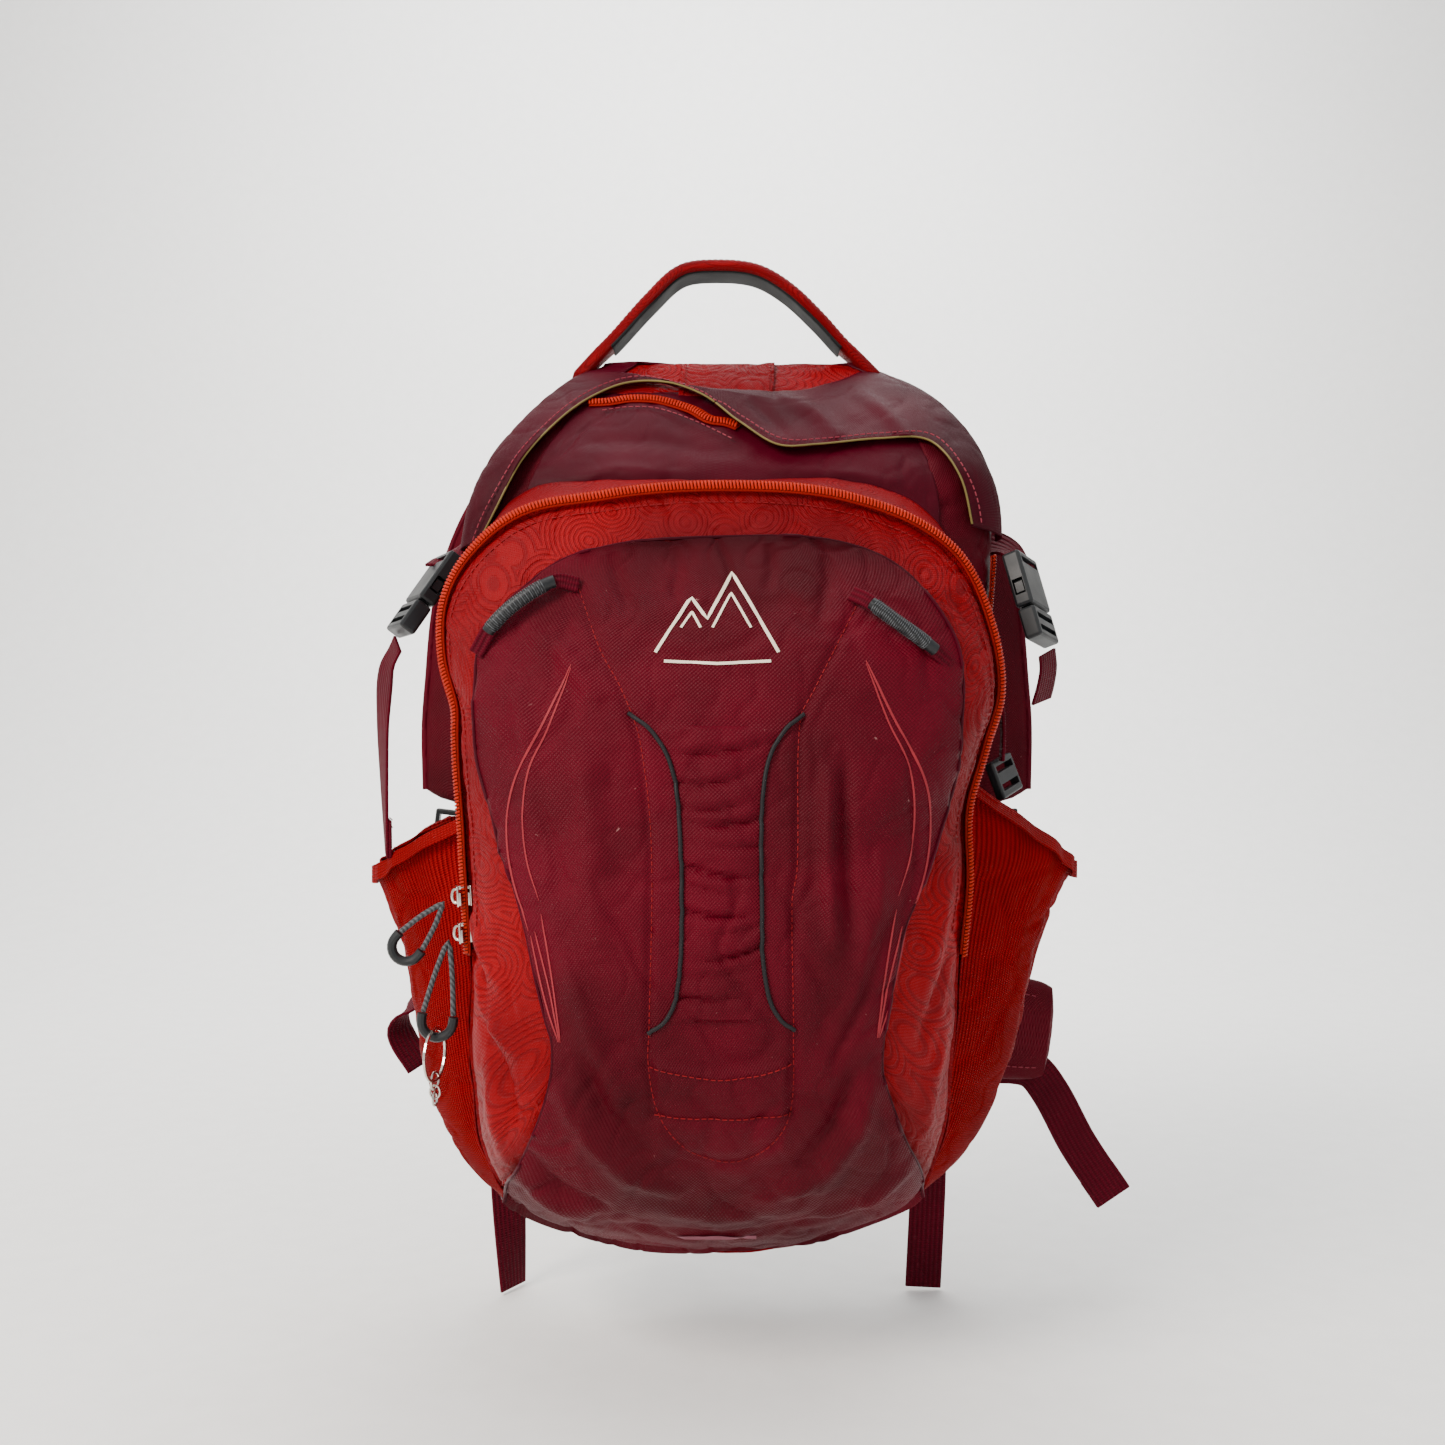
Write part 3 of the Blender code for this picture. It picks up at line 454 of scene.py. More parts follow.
def braided_cord():
    """Grey braided cord: diagonal picks."""
    made, tree, shader = new_material("grey_braided_cord")
    if tree is None:
        return made
    place = add(tree, "ShaderNodeTexCoord").outputs["Object"]
    picks = add(
        tree, "ShaderNodeTexWave", {"bands_direction": "DIAGONAL"},
        {"Vector": place, "Scale": 190.0, "Distortion": 3.0, "Detail": 1.0},
    ).outputs["Fac"]
    # Painted light and shade: the raised picks are lighter and the hollows between them darker, following the
    # bump.
    base = mixed(tree, picks, hex_colour("1B1D1F"), hex_colour("4A4D50"))
    bumped(tree, shader, picks, 0.0003, 0.8)
    tree.links.new(base, shader.inputs["Base Color"])
    shader.inputs["Roughness"].default_value = 0.75
    return made


def pink_thread():
    """Sewing thread, faded pink."""
    return plain("faded_pink_thread", "7E2A37", 0.7, grain=0.3, worn="66202C", gloss=0.2)


def red_thread():
    """Bonded red sewing thread."""
    return plain("red_thread", "76040C", 0.7, grain=0.3, worn="5C0308", gloss=0.2)


def olive_edge():
    """Raw coated edge of the rain flap, olive."""
    return plain("olive_coated_edge", "6A5C2A", 0.6, grain=0.5, worn="3C3418", gloss=0.3)


def rose_ink():
    """Screen-printed rose lines, thin and half matt."""
    return plain("rose_screen_ink", "86222A", 0.6, grain=0.4, worn="6E1A22", gloss=0.2)


def cream_ink():
    """Screen-printed cream ink, cracked a little."""
    return plain("cream_screen_ink", "E6D8C2", 0.55, grain=0.5, worn="C9B6A0")


def dark_ink():
    """Printed bar, a dull plum grey."""
    return plain("plum_screen_ink", "7A4450", 0.6, grain=0.4, worn="60343E", gloss=0.2)


# Making pieces

THICK = 0.0016  # of the wide webbing


def settle(bm, name, finish, body, replaces=(), smooth=40):
    """The bmesh as a finished piece that rides on a body."""
    mesh = bpy.data.meshes.new(name)
    bm.to_mesh(mesh)
    bm.free()
    mesh.shade_smooth()
    mesh.set_sharp_from_angle(angle=math.radians(smooth))
    piece = bpy.data.objects.new(name, mesh)
    bpy.context.scene.collection.objects.link(piece)
    mesh.materials.append(finish)
    if isinstance(body, str):
        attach(piece, body)
    if replaces:
        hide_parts(*replaces)
    return piece


def thicken(piece, thickness, offset=-1):
    """Gives a sheet its thickness: inwards at offset -1, and both ways at 0."""
    wall = piece.modifiers.new("wall", "SOLIDIFY")
    wall.thickness = thickness
    wall.offset = offset


def bent_grid(shape, columns, rows, size, outward, relief=None):
    """A grid bent to shape(u, v), with its UV map in metres and its front towards outward."""
    bm = bmesh.new()
    uv = bm.loops.layers.uv.new("UVMap")
    bmesh.ops.create_grid(bm, x_segments=columns, y_segments=rows, size=0.5, calc_uvs=True)
    for face in bm.faces:
        for loop in face.loops:
            loop[uv].uv = (loop[uv].uv.x * size[0], loop[uv].uv.y * size[1])
    u = np.clip(np.array([v.co.x for v in bm.verts]) + 0.5, 0, 1)
    v = np.clip(np.array([v.co.y for v in bm.verts]) + 0.5, 0, 1)
    for vert, place in zip(bm.verts, shape(u, v)):
        vert.co = place
    bm.normal_update()
    outward = Vector(outward)
    if sum(face.normal.dot(outward) * face.calc_area() for face in bm.faces) < 0:
        bmesh.ops.reverse_faces(bm, faces=bm.faces)
        bm.normal_update()
    if relief:
        places = np.array([vert.co for vert in bm.verts])
        normals = np.array([vert.normal for vert in bm.verts])
        for vert, place in zip(bm.verts, places + normals * relief(places)[:, None]):
            vert.co = place
    return bm


def join_round(bm, outwardness, relief):
    """Closes a grid on itself, turns its faces so that their outwardness is positive, and adds its relief."""
    bmesh.ops.remove_doubles(bm, verts=bm.verts, dist=1e-6)
    bmesh.ops.recalc_face_normals(bm, faces=bm.faces)
    bm.normal_update()
    if sum(outwardness(face) for face in bm.faces) < 0:
        bmesh.ops.reverse_faces(bm, faces=bm.faces)
        bm.normal_update()
    heights = relief(np.array([vert.co for vert in bm.verts]))
    for vert, height in zip(bm.verts, heights):
        vert.co += vert.normal * height


def cloth(
    name, shape, columns, rows, size, outward, finish, body, thickness=0.001, relief=None, replaces=(),
):
    """A sewn fabric panel."""
    bm = bent_grid(shape, columns, rows, size, outward, relief)
    piece = settle(bm, name, finish, body, replaces)
    thicken(piece, thickness)
    return piece


def tape(name, line, normals, width, thickness, finish, body, replaces=(), lift=0.0, crown=0.0):
    """A flat strap along a line of points, its face towards the normals."""
    steps = len(line) - 1
    length = sum((b - a).length for a, b in zip(line, line[1:]))
    rows = []
    for i, place in enumerate(line):
        along = (line[min(i + 1, steps)] - line[max(i - 1, 0)]).normalized()
        out = Vector(normals[i])
        out = (out - along * out.dot(along)).normalized()
        rows.append((place, along.cross(out), out))

    def shape(u, v):
        places = []
        for across, at in zip(u, v):
            place, side, out = rows[round(at * steps)]
            wide = width(at) if callable(width) else width
            arch = crown * (1 - (2 * across - 1) ** 2)
            places.append(place + side * wide * (across - 0.5) + out * (lift + arch))
        return places

    wide = width(0.5) if callable(width) else width
    mean = sum((out for _, _, out in rows), Vector())
    bm = bent_grid(shape, 6, steps, (wide, length), mean)
    piece = settle(bm, name, finish, body, replaces)
    thicken(piece, thickness, 0)
    edge = piece.modifiers.new("edge", "BEVEL")
    edge.width = thickness * 0.3
    edge.segments = 2
    edge.limit_method = "ANGLE"
    return piece


def rod(bm, line, radius, sides=8, closed=False):
    """Adds a round rod along a line: a circle swept from point to point and capped."""
    steps = len(line)
    rings = []
    side = None
    for i, place in enumerate(line):
        ahead = line[(i + 1) % steps] if closed else line[min(i + 1, steps - 1)]
        behind = line[i - 1] if closed else line[max(i - 1, 0)]
        along = (ahead - behind).normalized()
        if side is None:
            side = along.orthogonal().normalized()
        side = (side - along * side.dot(along)).normalized()
        ring = bmesh.ops.create_circle(bm, segments=sides, radius=radius)["verts"]
        turn = Matrix((side, along.cross(side), along)).transposed().to_4x4()
        bmesh.ops.transform(bm, matrix=Matrix.Translation(place) @ turn, verts=ring)
        rings.append(ring)
    pairs = list(zip(rings, rings[1:])) + ([(rings[-1], rings[0])] if closed else [])
    for a, b in pairs:
        for k in range(sides):
            bm.faces.new((a[k], a[(k + 1) % sides], b[(k + 1) % sides], b[k]))
    if not closed:
        bm.faces.new(rings[0][::-1])
        bm.faces.new(rings[-1])


def cable(name, line, radius, finish, body, replaces=(), sides=10, closed=False):
    bm = bmesh.new()
    rod(bm, line, radius, sides, closed)
    bmesh.ops.recalc_face_normals(bm, faces=bm.faces)
    return settle(bm, name, finish, body, replaces)


def stitches(name, line, finish, body, pitch=0.0034, radius=0.00032, share=0.66):
    """A row of sewn stitches along a line: each is a short thread that dips in at both ends."""
    length = sum((b - a).length for a, b in zip(line, line[1:]))
    count = max(2, round(length / pitch))
    fine = smooth_run(line, count * 4)
    bm = bmesh.new()
    for k in range(count):
        a, b = fine[4 * k], fine[4 * k + 4]
        thread = [a, a.lerp(b, share / 2) + (fine[4 * k + 2] - a.lerp(b, 0.5)), a.lerp(b, share)]
        rod(bm, thread, radius, 5)
    bmesh.ops.recalc_face_normals(bm, faces=bm.faces)
    return settle(bm, name, finish, body)


def fold_with_flap(*pieces):
    """Bakes the placement of pieces that cross the front pocket's fold line into their meshes."""
    for piece in pieces:
        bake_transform(piece)


def surface_of(*pieces):
    """A tree that finds places on the finished outsides of the pieces."""
    graph = bpy.context.evaluated_depsgraph_get()
    verts, faces = [], []
    for piece in pieces:
        mesh = piece.evaluated_get(graph).to_mesh()
        start = len(verts)
        verts += [v.co.copy() for v in mesh.vertices]
        faces += [[start + k for k in face.vertices] for face in mesh.polygons]
        piece.evaluated_get(graph).to_mesh_clear()
    return BVHTree.FromPolygons(verts, faces)


def laid(tree, x, z, lift):
    """The point on the front of the bag at (x, z), raised by lift, and the normal there."""
    place, normal, _, _ = tree.ray_cast(Vector((x, -0.5, z)), Vector((0, 1, 0)))
    if place is None:
        place, normal = Vector((x, float(front_y(x, z)), z)), Vector((0, -1, 0))
    return place + normal * lift, normal


# The front pocket


PANEL_LEFT = [
    (-0.060, -0.508), (-0.090, -0.495), (-0.106, -0.482), (-0.1015, -0.466), (-0.093, -0.452),
    (-0.081, -0.425), (-0.075, -0.405), (-0.074, -0.389), (-0.077, -0.378), (-0.082, -0.360),
    (-0.087, -0.338), (-0.094, -0.316), (-0.100, -0.3025), (-0.105, -0.284), (-0.112, -0.261),
    (-0.1136, -0.243), (-0.113, -0.224), (-0.1106, -0.205), (-0.106, -0.196), (-0.092, -0.182),
    (-0.074, -0.168), (-0.055, -0.1615), (-0.032, -0.1576),
]
PANEL_RIGHT = [
    (0.055, -0.507), (0.086, -0.492), (0.102, -0.479), (0.098, -0.460), (0.087, -0.437), (0.0786, -0.415),
    (0.0745, -0.4006), (0.0757, -0.382), (0.080, -0.360), (0.085, -0.338), (0.095, -0.316),
    (0.1035, -0.294), (0.111, -0.271), (0.1136, -0.243), (0.1146, -0.224), (0.111, -0.205), (0.100, -0.186),
    (0.086, -0.1705), (0.0675, -0.161), (0.039, -0.156),
]
COLUMN_SEAM = [
    (-0.064, -0.182), (-0.053, -0.211), (-0.043, -0.229), (-0.0345, -0.252), (-0.029, -0.301),
    (-0.030, -0.380), (-0.0306, -0.394), (-0.028, -0.413), (-0.023, -0.425), (-0.012, -0.4375),
    (0.0014, -0.443), (0.0127, -0.442), (0.026, -0.432), (0.033, -0.4175), (0.034, -0.385),
    (0.0334, -0.323), (0.0357, -0.309), (0.0374, -0.243), (0.044, -0.229), (0.066, -0.187),
]
PIPING_LEFT = [
    (-0.040, -0.2395), (-0.030, -0.247), (-0.022, -0.259), (-0.018, -0.274), (-0.016, -0.3005),
    (-0.0155, -0.331), (-0.016, -0.349), (-0.0185, -0.367), (-0.023, -0.376), (-0.0306, -0.3816),
]
PIPING_RIGHT = [
    (0.039, -0.240), (0.0306, -0.247), (0.024, -0.258), (0.0206, -0.274), (0.0196, -0.3005),
    (0.020, -0.331), (0.0204, -0.349), (0.0235, -0.367), (0.029, -0.376), (0.0347, -0.380),
]
POCKET_EDGE = [(-0.0306, -0.394), (-0.012, -0.3975), (0.0014, -0.399), (0.019, -0.397), (0.035, -0.392)]
POCKET_LINE = [(-0.028, -0.4195), (-0.010, -0.4205), (0.012, -0.4208), (0.032, -0.419)]
GATHERS = (
    -0.2545, -0.268, -0.2795, -0.2865, -0.2965, -0.309, -0.3165, -0.327, -0.3345, -0.3455, -0.3525, -0.3635,
)


def dense(path, count=300):
    """The smooth curve through (a, b) points as an array of count + 1 rows."""
    return np.array([(p.x, p.y) for p in smooth_run([(a, b, 0) for a, b in path], count)])


def along(rows, at):
    places = np.linspace(0, 1, len(rows))
    return np.interp(at, places, rows[:, 0]), np.interp(at, places, rows[:, 1])


def ruled(left, right, depth, sag=0.0):
    """Shape of a panel between two (x, z) edges; sag drops the middle of its first row."""
    left, right = dense(left), dense(right)

    def shape(u, v):
        (lx, lz), (rx, rz) = along(left, v), along(right, v)
        x, z = lx + (rx - lx) * u, lz + (rz - lz) * u
        z = z - sag * (1 - (2 * u - 1) ** 2) * (1 - v) ** 8
        return np.stack([x, depth(x, z), z], axis=-1)

    return shape


def bag_front_y(x, z):
    """Depth of the main bag's front face."""
    half = np.where(x >= 0, right_half(z), left_half(z))
    share = np.clip(np.abs(x) / half, 0, 1)
    front = main_front(z)
    return (BACK_Y + front) / 2 - (1 - share**BOXINESS) ** (1 / BOXINESS) * (BACK_Y - front) / 2


def worn(folds=(), puff=0.0012, seed=0, lumps=0.055):
    """Relief of used cloth: slow swells, small wrinkles and the given folds of (path, width, height)."""

    def relief(places):
        x, z = places[:, 0], places[:, 2]
        height = clouds(places, lumps, seed) * puff + clouds(places, lumps * 0.3, seed + 7) * puff * 0.3
        for size, depth in ((0.7, 0.75), (0.33, 0.38)):
            crumple = np.abs(clouds(places, lumps * size, seed + 40 * size))
            height = height - puff * depth * np.exp(-((crumple / 0.08) ** 2))
        for path, width, rise in folds:
            height = height + ridge(path, x, z, width, rise)
        return height

    return relief


DRAPES = [
    ([(-0.098, -0.452), (-0.080, -0.470), (-0.060, -0.482)], 0.005, 0.0026),
    ([(-0.090, -0.440), (-0.074, -0.462), (-0.050, -0.474)], 0.003, -0.0020),
    ([(-0.072, -0.405), (-0.060, -0.430), (-0.040, -0.452), (-0.012, -0.462)], 0.006, 0.0030),
    ([(-0.062, -0.392), (-0.050, -0.420), (-0.030, -0.442)], 0.0035, -0.0022),
    ([(-0.068, -0.345), (-0.056, -0.385), (-0.040, -0.415)], 0.006, 0.0022),
    ([(-0.060, -0.250), (-0.056, -0.300), (-0.052, -0.350)], 0.008, 0.0018),
    ([(-0.090, -0.200), (-0.070, -0.212), (-0.052, -0.236)], 0.005, 0.0018),
    ([(-0.098, -0.215), (-0.086, -0.250), (-0.086, -0.290)], 0.005, 0.0014),
    ([(-0.050, -0.164), (-0.046, -0.176), (-0.040, -0.196)], 0.003, -0.0012),
    ([(-0.020, -0.161), (-0.018, -0.172), (-0.020, -0.188)], 0.003, -0.0010),
    ([(0.024, -0.160), (0.026, -0.172), (0.022, -0.184)], 0.003, -0.0011),
    ([(0.050, -0.165), (0.052, -0.178), (0.046, -0.200)], 0.003, -0.0012),
    ([(0.050, -0.262), (0.049, -0.305), (0.052, -0.348)], 0.004, 0.0026),
    ([(0.058, -0.258), (0.058, -0.300), (0.061, -0.340)], 0.003, -0.0020),
    ([(0.074, -0.300), (0.070, -0.340), (0.062, -0.378)], 0.006, 0.0022),
    ([(0.078, -0.330), (0.066, -0.366), (0.050, -0.400)], 0.003, -0.0018),
    ([(0.072, -0.398), (0.064, -0.430), (0.046, -0.456), (0.016, -0.468)], 0.006, 0.0030),
    ([(0.062, -0.400), (0.052, -0.426), (0.036, -0.446)], 0.0035, -0.0022),
    ([(0.092, -0.450), (0.074, -0.470), (0.048, -0.480)], 0.004, 0.0022),
    ([(-0.040, -0.470), (0.000, -0.478), (0.044, -0.470)], 0.005, 0.0016),
    ([(-0.060, -0.486), (0.000, -0.492), (0.062, -0.484)], 0.003, -0.0014),
]


def panel_relief(places):
    """The front panel's drapes, pressed seams, gathered middle strip and low pocket."""
    x, z = places[:, 0], places[:, 2]
    strength = 1.6 * bpy.context.scene.day_pack.fold_strength
    height = worn([(path, width, strength * rise) for path, width, rise in DRAPES], 0.0015, 3)(places)
    for seam in (COLUMN_SEAM, POCKET_LINE):
        away, _ = distance_to(seam, x, z)
        height -= 0.0013 * np.exp(-((away / 0.0022) ** 2))
    inner = np.interp(-z, [-p[1] for p in PIPING_LEFT], [p[0] for p in PIPING_LEFT])
    outer = np.interp(-z, [-p[1] for p in PIPING_RIGHT], [p[0] for p in PIPING_RIGHT])
    share = (x - inner) / (outer - inner)
    gathered = (share > 0) & (share < 1) & (z < -0.246) & (z > -0.376)
    arch = np.where(gathered, np.clip(4 * share * (1 - share), 0, 1), 0)
    height += arch * 0.0020
    for k, low in enumerate(GATHERS):
        middle = low - 0.0030 * arch + 0.0060 * math.sin(7 * k + 1) * (share - 0.5)
        reach = np.clip(1.15 - np.abs(share - 0.5 - 0.28 * math.sin(5 * k)) * 1.7, 0, 1)
        deep = 0.0017 + 0.0007 * math.sin(3 * k)
        height -= np.where(gathered, deep, 0) * np.exp(-(((z - middle) / 0.0015) ** 2)) * reach
        crest = middle + 0.0036
        height += np.where(gathered, 0.0008, 0) * np.exp(-(((z - crest) / 0.0024) ** 2)) * arch * reach
    edge = np.interp(x, [p[0] for p in POCKET_EDGE], [p[1] for p in POCKET_EDGE])
    within = np.clip((0.0315 - np.abs(x - 0.002)) / 0.004, 0, 1) * np.clip((z + 0.446) / 0.010, 0, 1)
    height += 0.0018 * within / (1 + np.exp(np.clip((z - edge) / 0.0004, -40, 40)))
    return height


def front_depth(lift):
    return lambda x, z: front_y(x, z) - lift


def on_rim(degrees, proud=0.0):
    """Points on the middle of the front zip."""
    degrees = np.asarray(degrees, float)
    reach = rim_radius(degrees % 360) + proud
    x = reach * np.cos(np.radians(degrees))
    z = FOLD_Z + reach * np.sin(np.radians(degrees))
    return np.stack([x, rim_y(z), z], axis=-1)


def rim_out(degrees):
    """Where the front zip's tape faces: forward over the top, and to the side further down."""
    a = math.radians(degrees)
    lean = 0.5 + 1.3 * math.cos(a) ** 2
    return Vector((math.cos(a) * lean, -1, math.sin(a) * lean)).normalized()


def make_front_panel():
    shape = ruled(PANEL_LEFT, PANEL_RIGHT, front_depth(0.0024), sag=0.0085)
    panel = cloth(
        "front_panel", shape, 150, 236, (0.20, 0.40), (0, -1, 0), burgundy_oxford(), None,
        0.0012, panel_relief, ("front_lower_panel", "front_flap"),
    )
    outline = [*PANEL_LEFT[2:], *PANEL_RIGHT[:1:-1]]
    inner = dense(outline, 600)
    turn = np.unwrap(np.arctan2(inner[:, 1] - FOLD_Z, inner[:, 0]))
    near = np.hypot(inner[:, 0], inner[:, 1] - FOLD_Z) - 0.004

    def band_shape(u, v):
        places = np.linspace(0, 1, len(turn))
        angle, low = np.interp(v, places, turn), np.interp(v, places, near)
        high = rim_radius(np.degrees(angle) % 360) - 0.0022
        reach = low + (np.maximum(high, low + 0.0015) - low) * u
        x, z = reach * np.cos(angle), FOLD_Z + reach * np.sin(angle)
        return np.stack([x, front_y(x, z) + 0.0014 * (1 - u) ** 3, z], axis=-1)

    pulls = [
        ([(-0.118, -0.335), (-0.110, -0.352), (-0.098, -0.368)], 0.0045, 0.0022),
        ([(-0.120, -0.345), (-0.112, -0.362), (-0.104, -0.385)], 0.0028, -0.0020),
        ([(-0.116, -0.360), (-0.104, -0.384), (-0.088, -0.398)], 0.0045, 0.0024),
        ([(-0.112, -0.380), (-0.100, -0.404), (-0.092, -0.430)], 0.0030, -0.0022),
        ([(-0.108, -0.400), (-0.104, -0.430), (-0.100, -0.455)], 0.0045, 0.0020),
        ([(0.112, -0.300), (0.104, -0.335), (0.096, -0.372)], 0.0050, 0.0022),
        ([(0.116, -0.330), (0.106, -0.364), (0.092, -0.395)], 0.0030, -0.0020),
        ([(0.112, -0.380), (0.100, -0.412), (0.096, -0.440)], 0.0045, 0.0022),
        ([(-0.126, -0.196), (-0.120, -0.186), (-0.112, -0.180)], 0.0030, -0.0014),
        ([(0.124, -0.200), (0.118, -0.190), (0.110, -0.182)], 0.0030, -0.0014),
    ]
    band = cloth(
        "front_band", band_shape, 34, 520, (0.030, 0.94), (0, -1, 0), red_ripstop(), None,
        0.0009, worn([(path, width, 1.5 * rise) for path, width, rise in pulls], 0.0010, 11, 0.030),
    )
    bpy.context.view_layer.update()
    skin = surface_of(panel, band)
    fold_with_flap(panel, band)
    return skin


def laid_run(skin, path, steps, lift):
    rows = dense(path, steps)
    found = [laid(skin, float(x), float(z), lift) for x, z in rows]
    return [place for place, _ in found], [normal for _, normal in found]


def make_front_seams(skin):
    """Pipings, top stitching and the edge binding of the front."""
    for name, path in (("left", PIPING_LEFT), ("right", PIPING_RIGHT)):
        line, _ = laid_run(skin, path, 60, 0.0006)
        piping = cable("piping_" + name, line, 0.0010, piping_cord(), None)
        fold_with_flap(piping)
    below_edge = [(x * 0.97, z - 0.003) for x, z in POCKET_EDGE]
    rows = {
        "column_stitching": (COLUMN_SEAM, 150, -0.0004, red_thread()),
        "pocket_stitching": (POCKET_LINE, 24, 0.0000, red_thread()),
        "pocket_edge_stitching": (below_edge, 24, 0.0001, red_thread()),
    }
    for name, (path, steps, lift, thread) in rows.items():
        line, _ = laid_run(skin, path, steps, lift + 0.0004)
        row = stitches(name, line, thread, None, 0.0032, 0.00030)
        fold_with_flap(row)
    outline = [*PANEL_LEFT[2:], *PANEL_RIGHT[:1:-1]]
    line, _ = laid_run(skin, outline, 260, 0.0001)
    fold_with_flap(cable("panel_edge", line, 0.0009, burgundy_taffeta(), None, sides=7))
    places = on_rim(list(range(-14, 195, 3)), -0.0085)
    line = [laid(skin, float(p[0]), float(p[2]), 0.0003)[0] for p in places]
    fold_with_flap(stitches("band_stitching", line, red_thread(), None, 0.0034, 0.00034))


PRINTED = [
    ([(-0.066, -0.2176), (-0.078, -0.243), (-0.092, -0.270), (-0.096, -0.2885), (-0.094, -0.311),
      (-0.085, -0.338)], 0.0013),
    ([(-0.066, -0.219), (-0.0765, -0.247), (-0.085, -0.265), (-0.088, -0.286), (-0.086, -0.306),
      (-0.080, -0.324)], 0.0010),
    ([(-0.084, -0.340), (-0.078, -0.366), (-0.071, -0.387)], 0.0010),
    ([(-0.082, -0.338), (-0.075, -0.364), (-0.0705, -0.387)], 0.0010),
    ([(-0.079, -0.330), (-0.0735, -0.360), (-0.070, -0.387)], 0.0010),
]
PEAKS = [
    ([(-0.028, -0.212), (-0.012, -0.186), (-0.0045, -0.1965), (0.007, -0.174), (0.028, -0.212)], 0.0016),
    ([(-0.0165, -0.2005), (-0.0115, -0.193), (-0.0075, -0.2005)], 0.0012),
    ([(-0.002, -0.2005), (0.0065, -0.184), (0.0155, -0.2005)], 0.0012),
    ([(-0.024, -0.216), (0.000, -0.2172), (0.0245, -0.216)], 0.0014),
]


def straight_run(path, steps):
    """Evenly spaced (x, z) points along a run of straight pieces."""
    run = np.concatenate([[0], np.cumsum([math.dist(a, b) for a, b in zip(path, path[1:])])])
    at = np.linspace(0, run[-1], steps + 1)
    return list(zip(np.interp(at, run, [p[0] for p in path]), np.interp(at, run, [p[1] for p in path])))


def make_printing(skin):
    for side, way, shift in (("left", 1, 0.0), ("right", -1, -0.0035)):
        for k, (path, width) in enumerate(PRINTED):
            turned = [(way * x - shift * 0.5, z + (0.002 if way < 0 else 0)) for x, z in path]
            line, normals = laid_run(skin, turned, 40, 0.0002)
            taper = ramp((0, width * 0.3), (0.1, width * 0.8), (0.9, width * 0.8), (1, width * 0.25))
            lined = tape(
                f"printed_line_{side}_{k}", line, normals, lambda at, t=taper: float(t(at)), 0.0002,
                rose_ink(), None,
            )
            fold_with_flap(lined)
    for k, (path, width) in enumerate(PEAKS):
        points = straight_run(path, 36)
        found = [laid(skin, float(x), float(z), 0.0003) for x, z in points]
        tape(
            f"printed_peaks_{k}", [p for p, _ in found], [n for _, n in found], width, 0.0002,
            cream_ink(), "front_flap",
        )
    points = straight_run([(-0.0190, -0.4950), (0.0190, -0.4950)], 16)
    found = [laid(skin, float(x), float(z), 0.0006) for x, z in points]
    line, normals = [p for p, _ in found], [n for _, n in found]
    tape("printed_bar", line, normals, 0.0030, 0.0002, dark_ink(), "bag")


def make_front_gusset():
    """The band of cloth between the front panel's zip and the main bag."""

    def shape(u, v):
        rim = on_rim(360 * u, -0.0005)
        x, z = rim[:, 0], rim[:, 2]
        back_y = bag_front_y(x * 0.995, np.maximum(z, -0.517)) - 0.0006
        back_y = np.maximum(back_y, rim[:, 1] + 0.006)
        start = rim[:, 1] + 0.0022
        z = z + v * np.clip((z + 0.20) / 0.05, 0, 1) * (0.006 + 0.010 * np.clip(np.abs(x) / 0.09, 0, 1))
        return np.stack([x, start + (back_y - start) * v, z], axis=-1)

    def relief(places):
        turn = np.degrees(np.arctan2(places[:, 2] - FOLD_Z, places[:, 0]))
        return clouds(places, 0.022, 31) * 0.0010 + 0.0008 * np.sin(turn * 0.9) * clouds(places, 0.05, 5)

    bm = bent_grid(shape, 300, 12, (1.25, 0.045), (0, 0, 0))
    middle = Vector((0, -0.07, FOLD_Z))
    join_round(bm, lambda face: (face.calc_center_median() - middle).dot(face.normal), relief)
    gusset = settle(bm, "front_gusset_cloth", red_ripstop(), "bag", ("front_gusset",))
    thicken(gusset, 0.0009)


def zip_teeth(name, line, normals, wide, pitch, finish, body, replaces=()):
    """A coil zip: a round turn of the coil every pitch along a line, lying across it."""
    length = sum((b - a).length for a, b in zip(line, line[1:]))
    count = int(length / pitch)
    fine = smooth_run(line, count)
    bm = bmesh.new()
    for k in range(count):
        ahead = (fine[min(k + 1, count)] - fine[max(k - 1, 0)]).normalized()
        out = normals[min(round(k / count * (len(normals) - 1)), len(normals) - 1)]
        out = (out - ahead * out.dot(ahead)).normalized()
        side = ahead.cross(out)
        lean = ahead * pitch * 0.25
        place = fine[k]
        turn = [
            place - side * wide / 2 - out * pitch * 0.2 - lean,
            place - side * wide * 0.32 + out * pitch * 0.30 - lean * 0.5,
            place + side * wide * 0.32 + out * pitch * 0.30 + lean * 0.5,
            place + side * wide / 2 - out * pitch * 0.2 + lean,
        ]
        rod(bm, turn, pitch * 0.36, 6)
    bmesh.ops.recalc_face_normals(bm, faces=bm.faces)
    return settle(bm, name, finish, body, replaces, 60)


def make_front_zip():
    turns = [-19 + (199 + 19) * k / 160 for k in range(161)]
    line = [Vector(p) for p in on_rim(turns, -0.0008)]
    normals = [rim_out(d) for d in turns]
    tape("front_zip_tape", line, normals, 0.0066, 0.0009, zip_tape(), "bag",
         ("front_zip_chain",), 0.0004)
    raised = [p + n * 0.0014 for p, n in zip(line, normals)]
    zip_teeth("front_zip_coil", raised, normals, 0.0040, 0.0017, zip_coil(), "bag")


# The main bag


